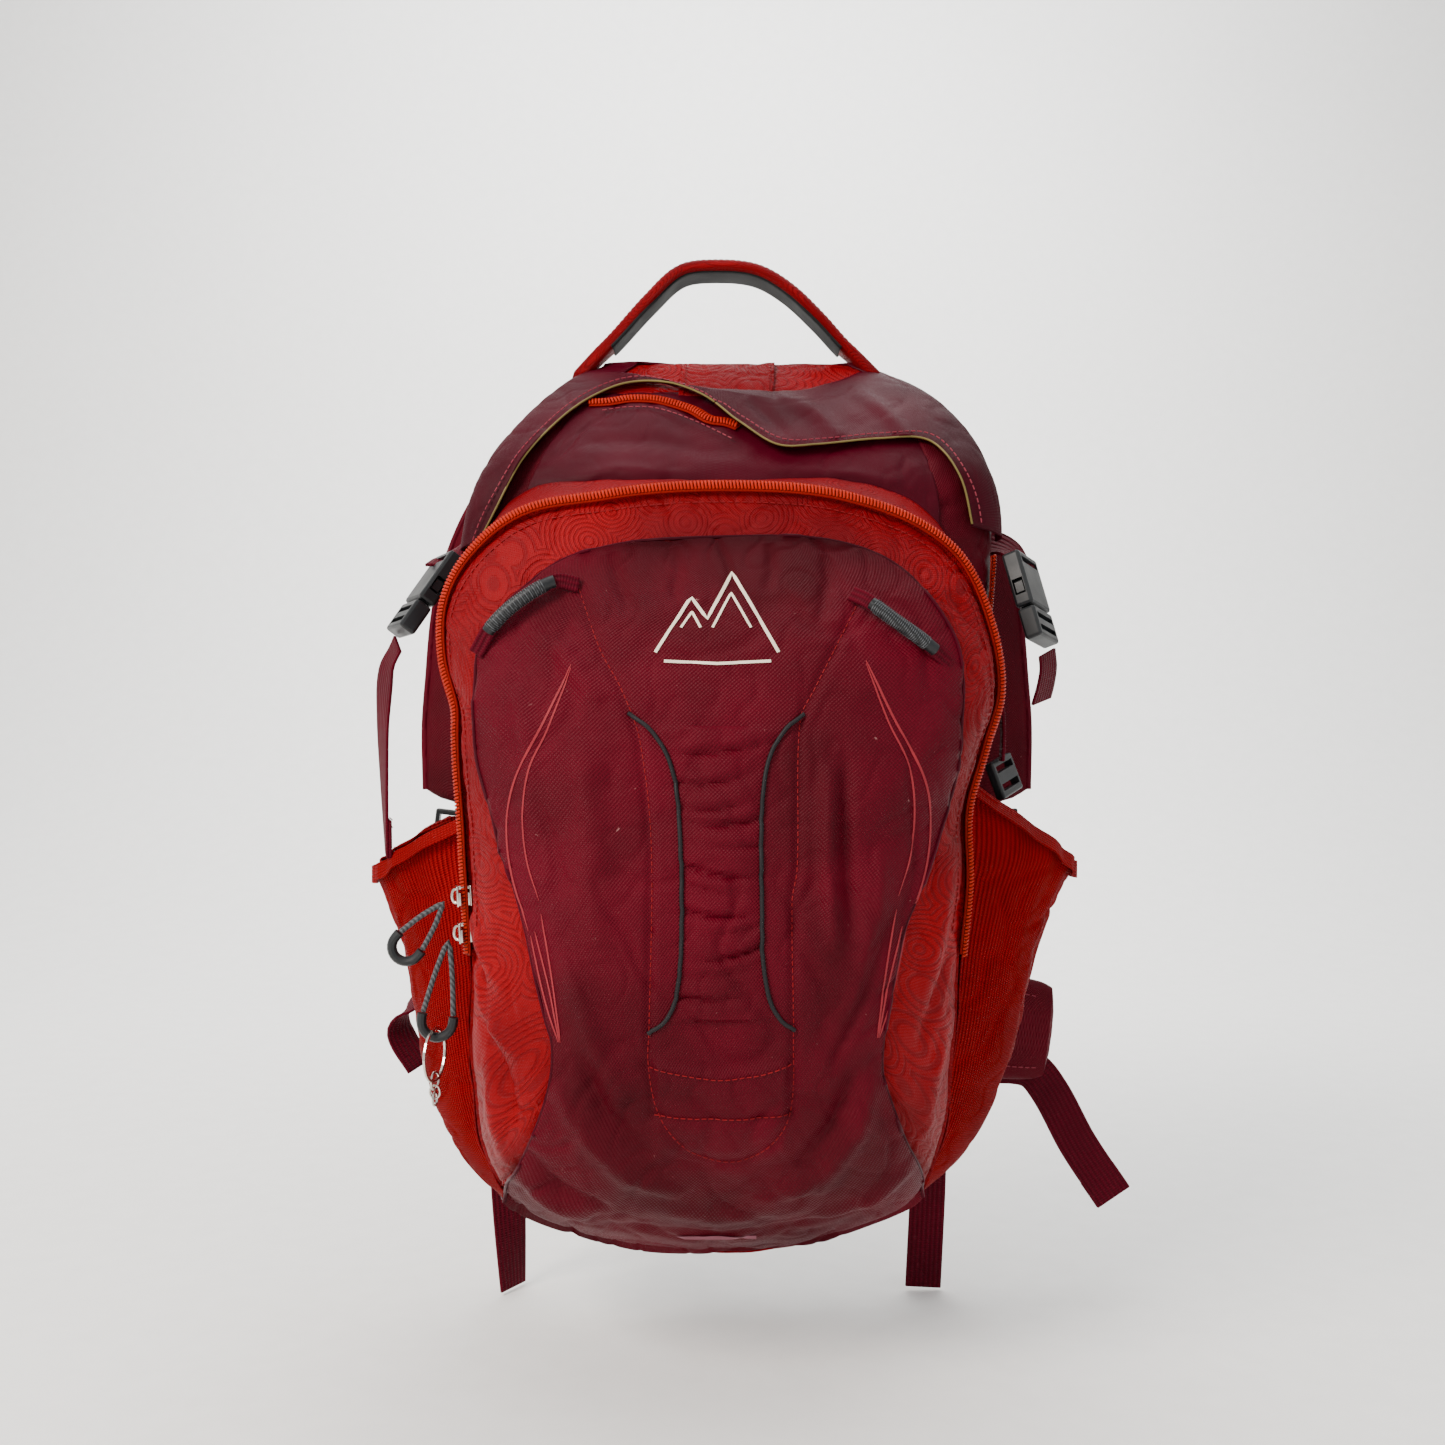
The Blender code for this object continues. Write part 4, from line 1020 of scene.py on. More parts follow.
def shell_out(degrees, z):
    a, b = shell(degrees - 0.5, z), shell(degrees + 0.5, z)
    c, d = shell(degrees, z - 0.002), shell(degrees, z + 0.002)
    return Vector(b - a).cross(Vector(d - c)).normalized()


def make_wall(name, start, end, low, high, finish, columns, rows, replaces, relief, proud=0.0):
    def shape(u, v):
        return shell(start + (end - start) * u, low + (high - low) * v, proud)

    middle = math.radians((start + end) / 2)
    outward = (math.cos(middle), math.sin(middle), 0)
    size = (0.16 if abs(end - start) < 110 else 0.5, high - low)
    return cloth(name, shape, columns, rows, size, outward, finish, "bag", 0.0012, relief, replaces)


SHOULDER_Z, HOOD_Z, FOOT_Z = -0.0700, -0.1720, -0.506


def capped(edge_z, end_z, share, push=0.0006):
    """A ring of the bag's section from edge_z to end_z, closed over flat after that share of its rows."""

    def shape(u, v):
        z = edge_z + (end_z - edge_z) * np.minimum(v / share, 1)
        points = shell(360 * u, z, push)
        middle = (BACK_Y + main_front(z)) / 2
        shrink = 1 - np.maximum(0, (v - share) / (1 - share))
        return np.stack([points[:, 0] * shrink, middle + (points[:, 1] - middle) * shrink, z], axis=-1)

    return shape


def make_cap(name, shape, columns, rows, size, up, finish, replaces, relief):
    """The cloth that closes the main bag at its top, where up is 1, or at its foot, where it is -1."""
    bm = bent_grid(shape, columns, rows, size, (0, 0, 0))
    join_round(bm, lambda face: face.normal.z * face.calc_area() * up, relief)
    thicken(settle(bm, name, finish, "bag", replaces), 0.0010)


def make_main_bag():
    side_folds = [
        ([(0.128, -0.24), (0.131, -0.33), (0.127, -0.42)], 0.012, 0.0020),
        ([(-0.128, -0.24), (-0.129, -0.33), (-0.126, -0.42)], 0.012, 0.0020),
    ]
    red, wine, lining = red_ripstop(), burgundy_oxford(), lining_nylon()
    make_wall("rear_cloth", 52, 128, FOOT_Z, SHOULDER_Z, wine, 60, 110, ("rear_panel",),
              worn((), 0.0010, 21))
    for side, start, end, seed in (("right", -49, 52, 23), ("left", 128, 229, 25)):
        make_wall("side_cloth_" + side, start, end, FOOT_Z, SHOULDER_Z, wine, 80, 130,
                  ("side_gusset_" + side,), worn(side_folds, 0.0016, seed, 0.045))
    make_wall("pocket_back", 229, 311, FOOT_Z, HOOD_Z, lining, 60, 100, ("pocket_divider",),
              worn((), 0.0008, 27))
    hood_folds = [
        ([(-0.090, -0.125), (-0.050, -0.118), (-0.010, -0.120)], 0.004, 0.0016),
        ([(0.020, -0.116), (0.060, -0.119), (0.100, -0.126)], 0.004, 0.0014),
        ([(-0.070, -0.100), (-0.030, -0.100), (0.004, -0.108)], 0.004, -0.0014),
    ]
    make_wall("hood_cloth", 229, 311, HOOD_Z - 0.004, SHOULDER_Z, burgundy_taffeta(), 130, 70,
              ("hood_front",), worn(hood_folds, 0.0009, 29, 0.045), 0.0008)
    make_cap("yoke_cloth", capped(SHOULDER_Z, -0.049, 0.6), 180, 26, (0.40, 0.05), 1, red,
             ("top_yoke",), worn((), 0.0006, 33, 0.02))
    make_cap("base_cloth", capped(FOOT_Z, -0.518, 0.4), 180, 26, (0.60, 0.05), -1, wine,
             ("base_panel",), worn((), 0.0008, 35, 0.04))
    sheet_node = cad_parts["frame_sheet"]
    dress(sheet_node, plain("black_polythene_sheet", "1E1F20", 0.5, grain=0.2, worn="292A2B"))


# The rain flap, from its left end to its right: share of its length, its free edge (x, z),
# and its sewn edge as (degrees round the bag, z)
FLAP = (
    (0.00, (-0.114, -0.152), (186, -0.158)), (0.10, (-0.105, -0.136), (186, -0.118)),
    (0.20, (-0.093, -0.114), (187, -0.086)), (0.30, (-0.076, -0.091), (193, -0.0600)),
    (0.38, (-0.060, -0.0765), (212, -0.0545)), (0.46, (-0.042, -0.0680), (246, -0.0580)),
    (0.54, (-0.022, -0.0690), (260, -0.0640)), (0.60, (-0.006, -0.0785), (268, -0.0685)),
    (0.66, (0.010, -0.0950), (272, -0.0705)), (0.72, (0.027, -0.1080), (280, -0.0700)),
    (0.78, (0.046, -0.1075), (295, -0.0625)), (0.85, (0.077, -0.1030), (320, -0.0555)),
    (0.91, (0.102, -0.1030), (345, -0.0640)), (0.96, (0.1165, -0.1220), (352, -0.0950)),
    (1.00, (0.1225, -0.1450), (354, -0.1500)),
)


def turn_of(x, z):
    """Degrees round the bag at which its front lies at x."""
    half = np.where(x >= 0, right_half(z), left_half(z))
    share = np.clip(np.abs(x) / half, 0, 1) ** (BOXINESS / 2)
    inner = np.degrees(np.arccos(share))
    return np.where(x >= 0, 360 - inner, 180 + inner)


def make_rain_flap():
    """The hood's loose flap: sewn along the yoke and folded down over the main zip, with a raw edge."""
    edge_x, edge_z = ramp(*((u, e[0]) for u, e, _ in FLAP)), ramp(*((u, e[1]) for u, e, _ in FLAP))
    top_turn, top_z = ramp(*((u, t[0]) for u, _, t in FLAP)), ramp(*((u, t[1]) for u, _, t in FLAP))

    def shape(u, v):
        low, z0 = turn_of(edge_x(u), edge_z(u)), edge_z(u)
        turn, z = low + (top_turn(u) - low) * v, z0 + (top_z(u) - z0) * v
        lift = 0.0026 + 0.0042 * np.clip((1 - v) / 0.30, 0, 1) ** 0.6
        skin = shell(turn, z)
        level = skin - np.stack([0 * z, 0 * z + BACK_Y, z], axis=-1)
        climb = shell(turn, z + 0.002) - skin
        climb = climb / np.linalg.norm(climb, axis=1)[:, None]
        out = level - climb * (level * climb).sum(axis=1)[:, None]
        return skin + out / np.linalg.norm(out, axis=1)[:, None] * lift[:, None]

    folds = [
        ([(-0.060, -0.078), (-0.040, -0.072), (-0.018, -0.073), (0.004, -0.088)], 0.0030, 0.0012),
        ([(0.030, -0.074), (0.050, -0.084), (0.062, -0.100)], 0.0050, 0.0024),
        ([(0.016, -0.076), (0.024, -0.084), (0.034, -0.098)], 0.0035, -0.0018),
        ([(0.070, -0.066), (0.086, -0.082), (0.098, -0.100)], 0.0045, 0.0020),
        ([(-0.090, -0.092), (-0.098, -0.108), (-0.106, -0.130)], 0.0040, 0.0014),
    ]
    cloth(
        "rain_flap_cloth", shape, 260, 44, (0.36, 0.045), (0, -1, 0.2), burgundy_taffeta(), "bag",
        0.0011, worn(folds, 0.0005, 41, 0.040), ("rain_flap",),
    )
    at = np.linspace(0.002, 0.998, 180)
    lip = [Vector(p) for p in shape(at, np.zeros(180))]
    cable("flap_raw_edge", lip, 0.00055, olive_edge(), "bag", sides=8)
    start, end = shape(at, np.zeros(180)), shape(at, np.ones(180))
    share = 0.0042 / np.linalg.norm(end - start, axis=1)
    row = [Vector(p) + Vector((0, -0.0012, 0.0002)) for p in shape(at, share)]
    stitches("flap_stitching", row, pink_thread(), "bag", 0.0034, 0.00036)
    lens = dense(
        [(-0.060, -0.0815), (-0.046, -0.0795), (-0.0315, -0.0805), (-0.012, -0.0885), (0.008, -0.1000)], 50,
    )
    row = [Vector((x, float(bag_front_y(x, z)) - 0.0030, z)) for x, z in lens]
    stitches("zip_edge_stitching", row, pink_thread(), "bag", 0.0034, 0.00036)


# The main zip where it shows: below the flap's ends as (degrees round the bag, z),
# and in the gap that the flap leaves above the hood as (x, z)
ZIP_SIDES = {
    "left": [(186.5, -0.166), (187.2, -0.20), (186, -0.245)],
    "right": [(347.5, -0.158), (351.5, -0.20), (354, -0.245)],
}
ZIP_GAP = [
    (-0.0670, -0.0770), (-0.0570, -0.0768), (-0.0455, -0.0748), (-0.0310, -0.0758), (-0.0150, -0.0815),
    (0.0010, -0.0895), (0.0110, -0.0930),
]


def make_main_zip():
    runs = dict(ZIP_SIDES, gap=[(float(turn_of(x, z)), z) for x, z in ZIP_GAP])
    for name, stations in runs.items():
        spots = [(p.x * 1000, p.y) for p in smooth_run([(d * 0.001, z, 0) for d, z in stations], 60)]
        normals = [shell_out(d, z) for d, z in spots]
        line = [Vector(shell(d, z)) + n * 0.0014 for (d, z), n in zip(spots, normals)]
        tape("main_zip_tape_" + name, line, normals, 0.0070, 0.0006, zip_tape(), "bag",
             ("main_zip_chain",) if name == "gap" else ())
        raised = [p + n * 0.0008 for p, n in zip(line, normals)]
        zip_teeth("main_zip_coil_" + name, raised, normals, 0.0036, 0.0017, zip_coil(), "bag")


def make_yoke_shoulders():
    """The burgundy ends of the yoke, from which the handle rises."""
    for name, start, end in (("left", 122, 237), ("right", 320, 398)):
        whole = capped(SHOULDER_Z - 0.006, -0.0480, 0.6, 0.0022)

        def shape(u, v, start=start, end=end, whole=whole):
            return whole((start + (end - start) * u) / 360, 0.78 * v)

        cloth("yoke_shoulder_" + name, shape, 90, 30, (0.14, 0.05), (0, 0, 1), burgundy_taffeta(), "bag",
              0.0010, worn((), 0.0008, 37, 0.030))


def make_yoke_box():
    """The folded strip sewn over the middle of the yoke."""

    def shape(u, v):
        x = -0.0200 + 0.0500 * u + 0.0015 * (v - 0.5)
        z = -0.0715 + 0.0225 * v
        return np.stack([x, bag_front_y(x, z) - 0.0020 - 0.0010 * np.sin(math.pi * v), z], axis=-1)

    cloth("yoke_strip", shape, 50, 24, (0.050, 0.030), (0, -1, 0.5), red_ripstop(), "bag", 0.0012,
          worn((), 0.0007, 71, 0.02))
    for name, at in (("left", 0.05), ("right", 0.95)):
        row = shape(np.full(24, at), np.linspace(0.05, 0.95, 24))
        stitches("yoke_strip_stitching_" + name, [Vector(p) + Vector((0, -0.0006, 0.0006)) for p in row],
                 red_thread(), "bag", 0.0030, 0.00030)


# Side pockets


def make_side_pockets():
    bulge = ramp(
        (-0.494, 0.009), (-0.47, 0.018), (-0.42, 0.027), (-0.365, 0.033), (-0.335, 0.041), (-0.31, 0.050),
        (-0.285, 0.044),
    )
    for name, side, corner_out in (("left", -1, 0.0), ("right", 1, 0.004)):

        def shape(u, v, side=side, corner_out=corner_out):
            mouth = -0.286 - 0.030 * np.sin(math.pi * np.minimum(u * 1.15, 1)) - 0.010 * u
            mouth = mouth + 4.5 * corner_out * (1 - u) ** 3
            z = -0.494 + (mouth + 0.494) * v
            degrees = 82 * u - 42
            points = shell(degrees if side > 0 else 180 - degrees, z)
            arch = np.clip(np.sin(math.pi * u), 0, 1) ** 0.75
            out = (bulge(z) + corner_out * v) * arch
            off_x, off_y = 0.0036 * np.cos(np.radians(degrees)), 0.0036 * np.sin(np.radians(degrees))
            ripple = 0.0012 * np.sin(u * 2 * math.pi * 9) * v**3 * arch
            return np.stack([points[:, 0] + side * (off_x + out + ripple), points[:, 1] + off_y, z], axis=-1)

        cloth(
            "pocket_knit_" + name, shape, 110, 110, (0.150, 0.200), (side, -0.2, 0), stretch_knit(), "bag",
            0.0012, worn((), 0.0012, 51 + side, 0.045), ("side_pocket_" + name,),
        )
        at = np.linspace(0.01, 0.99, 50)
        line = [Vector(p) for p in shape(at, np.full(50, 0.985))]
        normals = [Vector((side, -0.3, 0)) for _ in line]
        tape("pocket_hem_" + name, line, normals, 0.0090, 0.0010, stretch_knit(), "bag",
             (), 0.0014)
        foot = [Vector(p) for p in shape(at, np.full(50, 0.004))]
        cable("pocket_foot_" + name, foot, 0.0016, burgundy_taffeta(), "bag")


# Webbing, buckles and pulls


def dress(node, finish):
    """Gives a CAD node whose shape stays a better material."""
    node.data.materials.clear()
    node.data.materials.append(finish)


def make_fittings():
    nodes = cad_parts
    for name, node in nodes.items():
        if any(word in name for word in ("buckle", "ladder", "grip", "sternum_clip", "plug", "socket")):
            dress(node, acetal())
        elif "slider" in name or name == "key_ring":
            dress(node, nickel())
        elif name.endswith("_cord"):
            dress(node, braided_cord())


def strap(name, path, across, width, thickness, body, replaces=(), steps=30, lift=0.0):
    """Webbing along a path, its width along the across directions of its two ends."""
    line = smooth_run(path, steps)
    first, last = Vector(across[0]), Vector(across[1])
    normals = []
    for i in range(steps + 1):
        ahead = (line[min(i + 1, steps)] - line[max(i - 1, 0)]).normalized()
        normals.append(first.lerp(last, i / steps).cross(ahead).normalized())
    piece = tape(name, line, normals, width, thickness, polyester_webbing(), body, replaces, lift)
    return piece, line, normals


def end_hem(name, line, normals, width, body):
    """The turned and sewn end of a webbing tail: a second layer and a bar of stitches."""
    tail = line[-6:]
    out = normals[-6:]
    tape(name, tail, out, width * 1.02, THICK, polyester_webbing(), body, (), THICK)
    across = (tail[1] - tail[0]).normalized().cross(out[0]).normalized()
    for k, place in enumerate((tail[0], tail[1])):
        row = [place + out[0] * 0.0028 + across * width * t for t in (-0.42, -0.2, 0, 0.2, 0.42)]
        stitches(f"{name}_bar_{k}", row, pink_thread(), body, 0.0026, 0.00030)


def make_compression_straps():
    wide = bpy.context.scene.day_pack.webbing_width
    sides = (
        ("left", [(-0.1605, -0.0620, -0.2040), (-0.1670, -0.0575, -0.2170), (-0.1715, -0.0470, -0.2400),
                  (-0.1725, -0.0400, -0.2750), (-0.1715, -0.0380, -0.3130)],
         ((0.55, -0.75, 0.3), (0.25, -0.97, 0))),
        ("right", [(0.1675, -0.0530, -0.2080), (0.1685, -0.0510, -0.2160), (0.1680, -0.0480, -0.2240),
                   (0.1665, -0.0440, -0.2330)], ((0.55, 0.75, 0.1), (0.6, 0.8, 0))),
    )
    for side, tail, across in sides:
        _, line, normals = strap(
            "compression_tail_" + side, tail, across, 0.95 * wide, THICK, "bag",
            ("compression_webbing_" + side,),
        )
        if side == "left":
            end_hem("compression_hem_" + side, line, normals, 0.95 * wide, "bag")
    anchor = [(-0.133, -0.020, -0.150), (-0.138, -0.040, -0.156), (-0.1405, -0.0505, -0.1635)]
    across = ((0.3, -0.6, 0.74), (0.86, -0.45, -0.2))
    strap("compression_anchor_left", anchor, across, 0.95 * wide, THICK, "bag", (), 12)
    anchor = [(0.144, -0.012, -0.148), (0.152, -0.030, -0.154), (0.1582, -0.0395, -0.1620)]
    across = ((0.3, 0.6, 0.74), (0.5, 0.84, 0.1))
    strap("compression_anchor_right", anchor, across, 0.95 * wide, THICK, "bag", (), 12)


def make_tool_loops():
    """A webbing loop through a ribbed sleeve at each upper corner of the front."""
    for side, spans in (
        ("left", [(-0.112, -0.212), (-0.103, -0.1985), (-0.090, -0.187), (-0.0745, -0.1785),
                  (-0.064, -0.180)]),
        ("right", [(0.0620, -0.184), (0.0685, -0.1875), (0.081, -0.197), (0.094, -0.206), (0.108, -0.2165)]),
    ):
        path = []
        for i, (x, z) in enumerate(spans):
            arch = math.sin(math.pi * i / (len(spans) - 1))
            path.append(Vector((x, float(front_y(x, z)) - 0.0030 - 0.0055 * arch, z)))
        line = smooth_run(path, 60)
        bm = bmesh.new()
        rod(bm, line[12:50], 0.0031, 14)
        bmesh.ops.recalc_face_normals(bm, faces=bm.faces)
        settle(bm, "loop_sleeve_" + side, acetal(), "front_flap", ("tool_loop_" + side,))
        bm = bmesh.new()
        for k in range(14, 44):
            ahead = (line[k + 1] - line[k - 1]).normalized()
            turn = ahead.to_track_quat("Z", "Y").to_matrix().to_4x4()
            ring = bmesh.ops.create_circle(bm, segments=14, radius=0.0034)["verts"]
            edges = [edge for edge in bm.edges if edge.verts[0] in ring]
            lifted = bmesh.ops.extrude_edge_only(bm, edges=edges)["geom"]
            upper = [item for item in lifted if isinstance(item, bmesh.types.BMVert)]
            bmesh.ops.translate(bm, vec=(0, 0, 0.00045), verts=upper)
            bmesh.ops.transform(bm, matrix=Matrix.Translation(line[k]) @ turn, verts=[*ring, *upper])
        wraps = settle(bm, "loop_wraps_" + side, braided_cord(), "front_flap")
        thicken(wraps, 0.0004)
        out = [Vector((0, -1, 0.1))] * 16
        for end, part in (("a", line[:16]), ("b", line[-16:])):
            tape(f"loop_end_{side}_{end}", part, out, 0.0072, 0.0012, polyester_webbing(), "front_flap")


def facing(place, ahead, outward):
    """Frame at a place with +Y ahead, +Z as near outward as it can be, and +X across."""
    y = Vector(ahead).normalized()
    x = y.cross(Vector(outward)).normalized()
    turn = Matrix((x, y, x.cross(y))).transposed().to_4x4()
    return Matrix.Translation(Vector(place)) @ turn


def rounded_block(bm, size, centre, edge):
    """Adds a block of that size whose edges are rounded over edge metres."""
    made = bmesh.ops.create_cube(bm, size=1)["verts"]
    bmesh.ops.scale(bm, vec=Vector(size), verts=made)
    bmesh.ops.translate(bm, vec=Vector(centre), verts=made)
    edges = list({e for v in made for e in v.link_edges})
    bmesh.ops.bevel(
        bm, geom=edges, offset=edge, offset_type="OFFSET", segments=3, profile=0.5, affect="EDGES",
        material=-1,
    )


def make_slider(name, place, ahead, outward):
    """A zip slider: two plates joined by a post at the nose, and a bail over the outer plate."""
    bm = bmesh.new()
    rounded_block(bm, (0.0078, 0.0100, 0.0011), (0, 0, 0.0031), 0.0005)
    rounded_block(bm, (0.0078, 0.0100, 0.0011), (0, 0, -0.0031), 0.0005)
    rounded_block(bm, (0.0022, 0.0018, 0.0060), (0, 0.0040, 0), 0.0003)
    for way in (-1, 1):
        for level in (0.0024, -0.0024):
            rounded_block(bm, (0.0009, 0.0062, 0.0016), (way * 0.0034, -0.0014, level), 0.0003)
    bail = ((0.0034, 0.0034), (0.0032, 0.0048), (0.0015, 0.0056), (-0.0012, 0.0056), (-0.0030, 0.0046),
            (-0.0032, 0.0034))
    rod(bm, smooth_run([(0, y, z) for y, z in bail], 14), 0.0006, 8)
    bmesh.ops.transform(bm, matrix=facing(place, ahead, outward), verts=bm.verts)
    bmesh.ops.recalc_face_normals(bm, faces=bm.faces)
    settle(bm, name + "_casting", nickel(), name, (name,), 30)


def make_sliders():
    rim = [Vector(on_rim(d)) for d in (180, 196)]
    run = (rim[0] - rim[1]).normalized()
    for name, z in (("upper", -0.3277), ("lower", -0.3455)):
        at = rim[0] + (rim[0] - rim[1]) * ((z - rim[0].z) / (rim[0].z - rim[1].z))
        make_slider("front_slider_" + name, at, run, (-0.97, -0.25, 0))
    centre = (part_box("main_slider")[0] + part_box("main_slider")[1]) / 2
    make_slider("main_slider", centre, (0.05, 0, 1), (0.98, -0.2, 0))
    low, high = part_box("main_pull")
    top = Vector(((low.x + high.x) / 2, (low.y + high.y) / 2, high.z))
    foot = Vector((top.x, top.y, low.z))
    line = smooth_run([top, top.lerp(foot, 0.5) + Vector((0.0006, 0, 0)), foot], 16)
    tape("main_pull_tab", line, [Vector((1, 0, 0))] * 17, 0.0078, 0.0018, polyester_webbing(), "main_pull",
         ("main_pull",))


def make_key_chain():
    """The small second ring and the bit of chain on the split ring."""
    low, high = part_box("key_ring")
    centre = (low + high) / 2
    bm = bmesh.new()
    rings = ((0.0125, 0.0042, 1, False), (0.0178, 0.0024, 1.3, True), (0.0212, 0.0024, 1.3, False))
    for drop, radius, stretch, facing_front in rings:
        middle = centre + Vector((0, 0, -drop))
        circle = []
        for j in range(18):
            a = 2 * math.pi * j / 18
            flat = Vector((math.cos(a) * radius, 0, math.sin(a) * radius * stretch))
            circle.append(middle + (flat if facing_front else Vector((0.25 * flat.x, flat.x, flat.z))))
        rod(bm, circle, 0.0006, 7, True)
    bmesh.ops.recalc_face_normals(bm, faces=bm.faces)
    settle(bm, "key_chain", nickel(), "key_ring")


# Handle, back and harness


def facing_way(out, axis, way):
    """out or its opposite, whichever points that way along the axis."""
    return out if out[axis] * way > 0 else -out


def padded_band(
    name, path, across, width, thick, finish, replaces=(), boxy=2.6, steps=120, wave=0.0,
):
    """A foam-filled band along a path: rounded section, closed ends, thickness falling off to sewn edges."""
    line = smooth_run(path, steps)
    first, last = Vector(across[0]), Vector(across[1])
    frames = []
    for i in range(steps + 1):
        ahead = (line[min(i + 1, steps)] - line[max(i - 1, 0)]).normalized()
        side = first.lerp(last, i / steps)
        side = (side - ahead * side.dot(ahead)).normalized()
        frames.append((line[i], side, side.cross(ahead).normalized()))

    def shape(u, v):
        places = []
        for a, at in zip(u * 2 * math.pi, v):
            place, side, out = frames[round(at * steps)]
            closing = min(1.0, min(at, 1 - at) * steps / 3) ** 0.5
            c, s = math.cos(a), math.sin(a)
            wide = width(at) * 0.5 * math.copysign(abs(c) ** (2 / 4.5), c)
            deep = thick * 0.5 * math.copysign(abs(s) ** (2 / boxy), s)
            swell = 1 + wave * math.cos(2 * wide / width(at) * math.pi * 1.5)
            places.append(place + (side * wide + out * deep * swell) * closing)
        return places

    length = sum((b - a).length for a, b in zip(line, line[1:]))
    bm = bent_grid(shape, 56, steps, (0.12, length), (0, 0, 0))
    bmesh.ops.remove_doubles(bm, verts=bm.verts, dist=1e-6)
    bmesh.ops.recalc_face_normals(bm, faces=bm.faces)
    return settle(bm, name, finish, None, replaces), line, frames


def make_handle():
    path = [
        (-0.0790, -0.001, -0.0600), (-0.0665, 0, -0.0462), (-0.0560, 0, -0.0360), (-0.037, 0, -0.0155),
        (-0.020, 0, -0.0005), (0, 0, 0.0022), (0.021, 0, -0.0002), (0.038, 0, -0.0098), (0.055, 0, -0.0255),
        (0.067, 0, -0.0385), (0.0755, 0, -0.0462), (0.0890, -0.001, -0.0600),
    ]
    width = ramp(
        (0, 0.012), (0.10, 0.015), (0.2, 0.020), (0.33, 0.0245), (0.67, 0.0245), (0.8, 0.020), (0.9, 0.015),
        (1, 0.012),
    )
    across = ((0, 1, 0), (0, 1, 0))
    grip, _, frames = padded_band(
        "handle_grip", path, across, width, 0.0072, red_ripstop(), ("haul_handle",),
    )
    downward = [facing_way(out, 2, -1) for _, _, out in frames]
    under = [p + out * 0.0026 for (p, _, _), out in zip(frames, downward)]
    neoprene = plain("dark_neoprene", "0D0C0D", 0.7, grain=0.5, worn="181617", gloss=0.15)
    lining = tape(
        "handle_lining", under[16:-16], downward[16:-16], 0.0205, 0.0016, neoprene, None, (), 0.0004,
    )
    rows = [grip, lining]
    for name, flip in (("front", -1), ("rear", 1)):
        run = [
            p + side * flip * float(width(i / 120)) * 0.38 + facing_way(out, 2, 1) * 0.0031
            for i, (p, side, out) in enumerate(frames)
        ][12:-12:4]
        rows.append(stitches("handle_stitching_" + name, run, red_thread(), None, 0.0032, 0.0003))
    for piece in rows:
        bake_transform(piece)


def make_back_pad():
    """The back pad: spacer mesh over foam, pressed into three columns of cushions."""

    def shape(u, v):
        z = -0.478 + 0.393 * v
        left, right = left_half(z) - 0.022, right_half(z) - 0.028
        x = -left + (left + right) * u
        border = np.clip(np.minimum(np.minimum(u, 1 - u) / 0.05, np.minimum(v, 1 - v) / 0.03), 0, 1)
        rise = 0.0065 + 0.0050 * np.sqrt(border)
        for seam in (0.33, 0.67):
            rise -= 0.0055 * np.exp(-(((u - seam) / 0.018) ** 2))
        for seam in (0.2, 0.4, 0.6, 0.8):
            rise -= 0.0040 * np.exp(-(((v - seam - 0.03 * np.sin(math.pi * u)) / 0.010) ** 2))
        return np.stack([x, BACK_Y + 0.0012 + rise, z], axis=-1)

    pad = cloth("back_cushion", shape, 120, 200, (0.21, 0.40), (0, 1, 0), spacer_mesh(), "bag",
                0.006, worn((), 0.0006, 61, 0.03), ("back_pad",))
    at = [(0.0, v) for v in np.linspace(0, 1, 40)] + [(u, 1.0) for u in np.linspace(0.03, 1, 24)]
    at += [(1.0, v) for v in np.linspace(0.98, 0, 40)] + [(u, 0.0) for u in np.linspace(0.97, 0.03, 24)]
    ring = shape(np.array([a for a, _ in at]), np.array([b for _, b in at]))
    line = [Vector(p) - Vector((0, 0.0028, 0)) for p in ring]
    cable("back_binding", line, 0.0028, burgundy_taffeta(), "bag", (), 10, True)


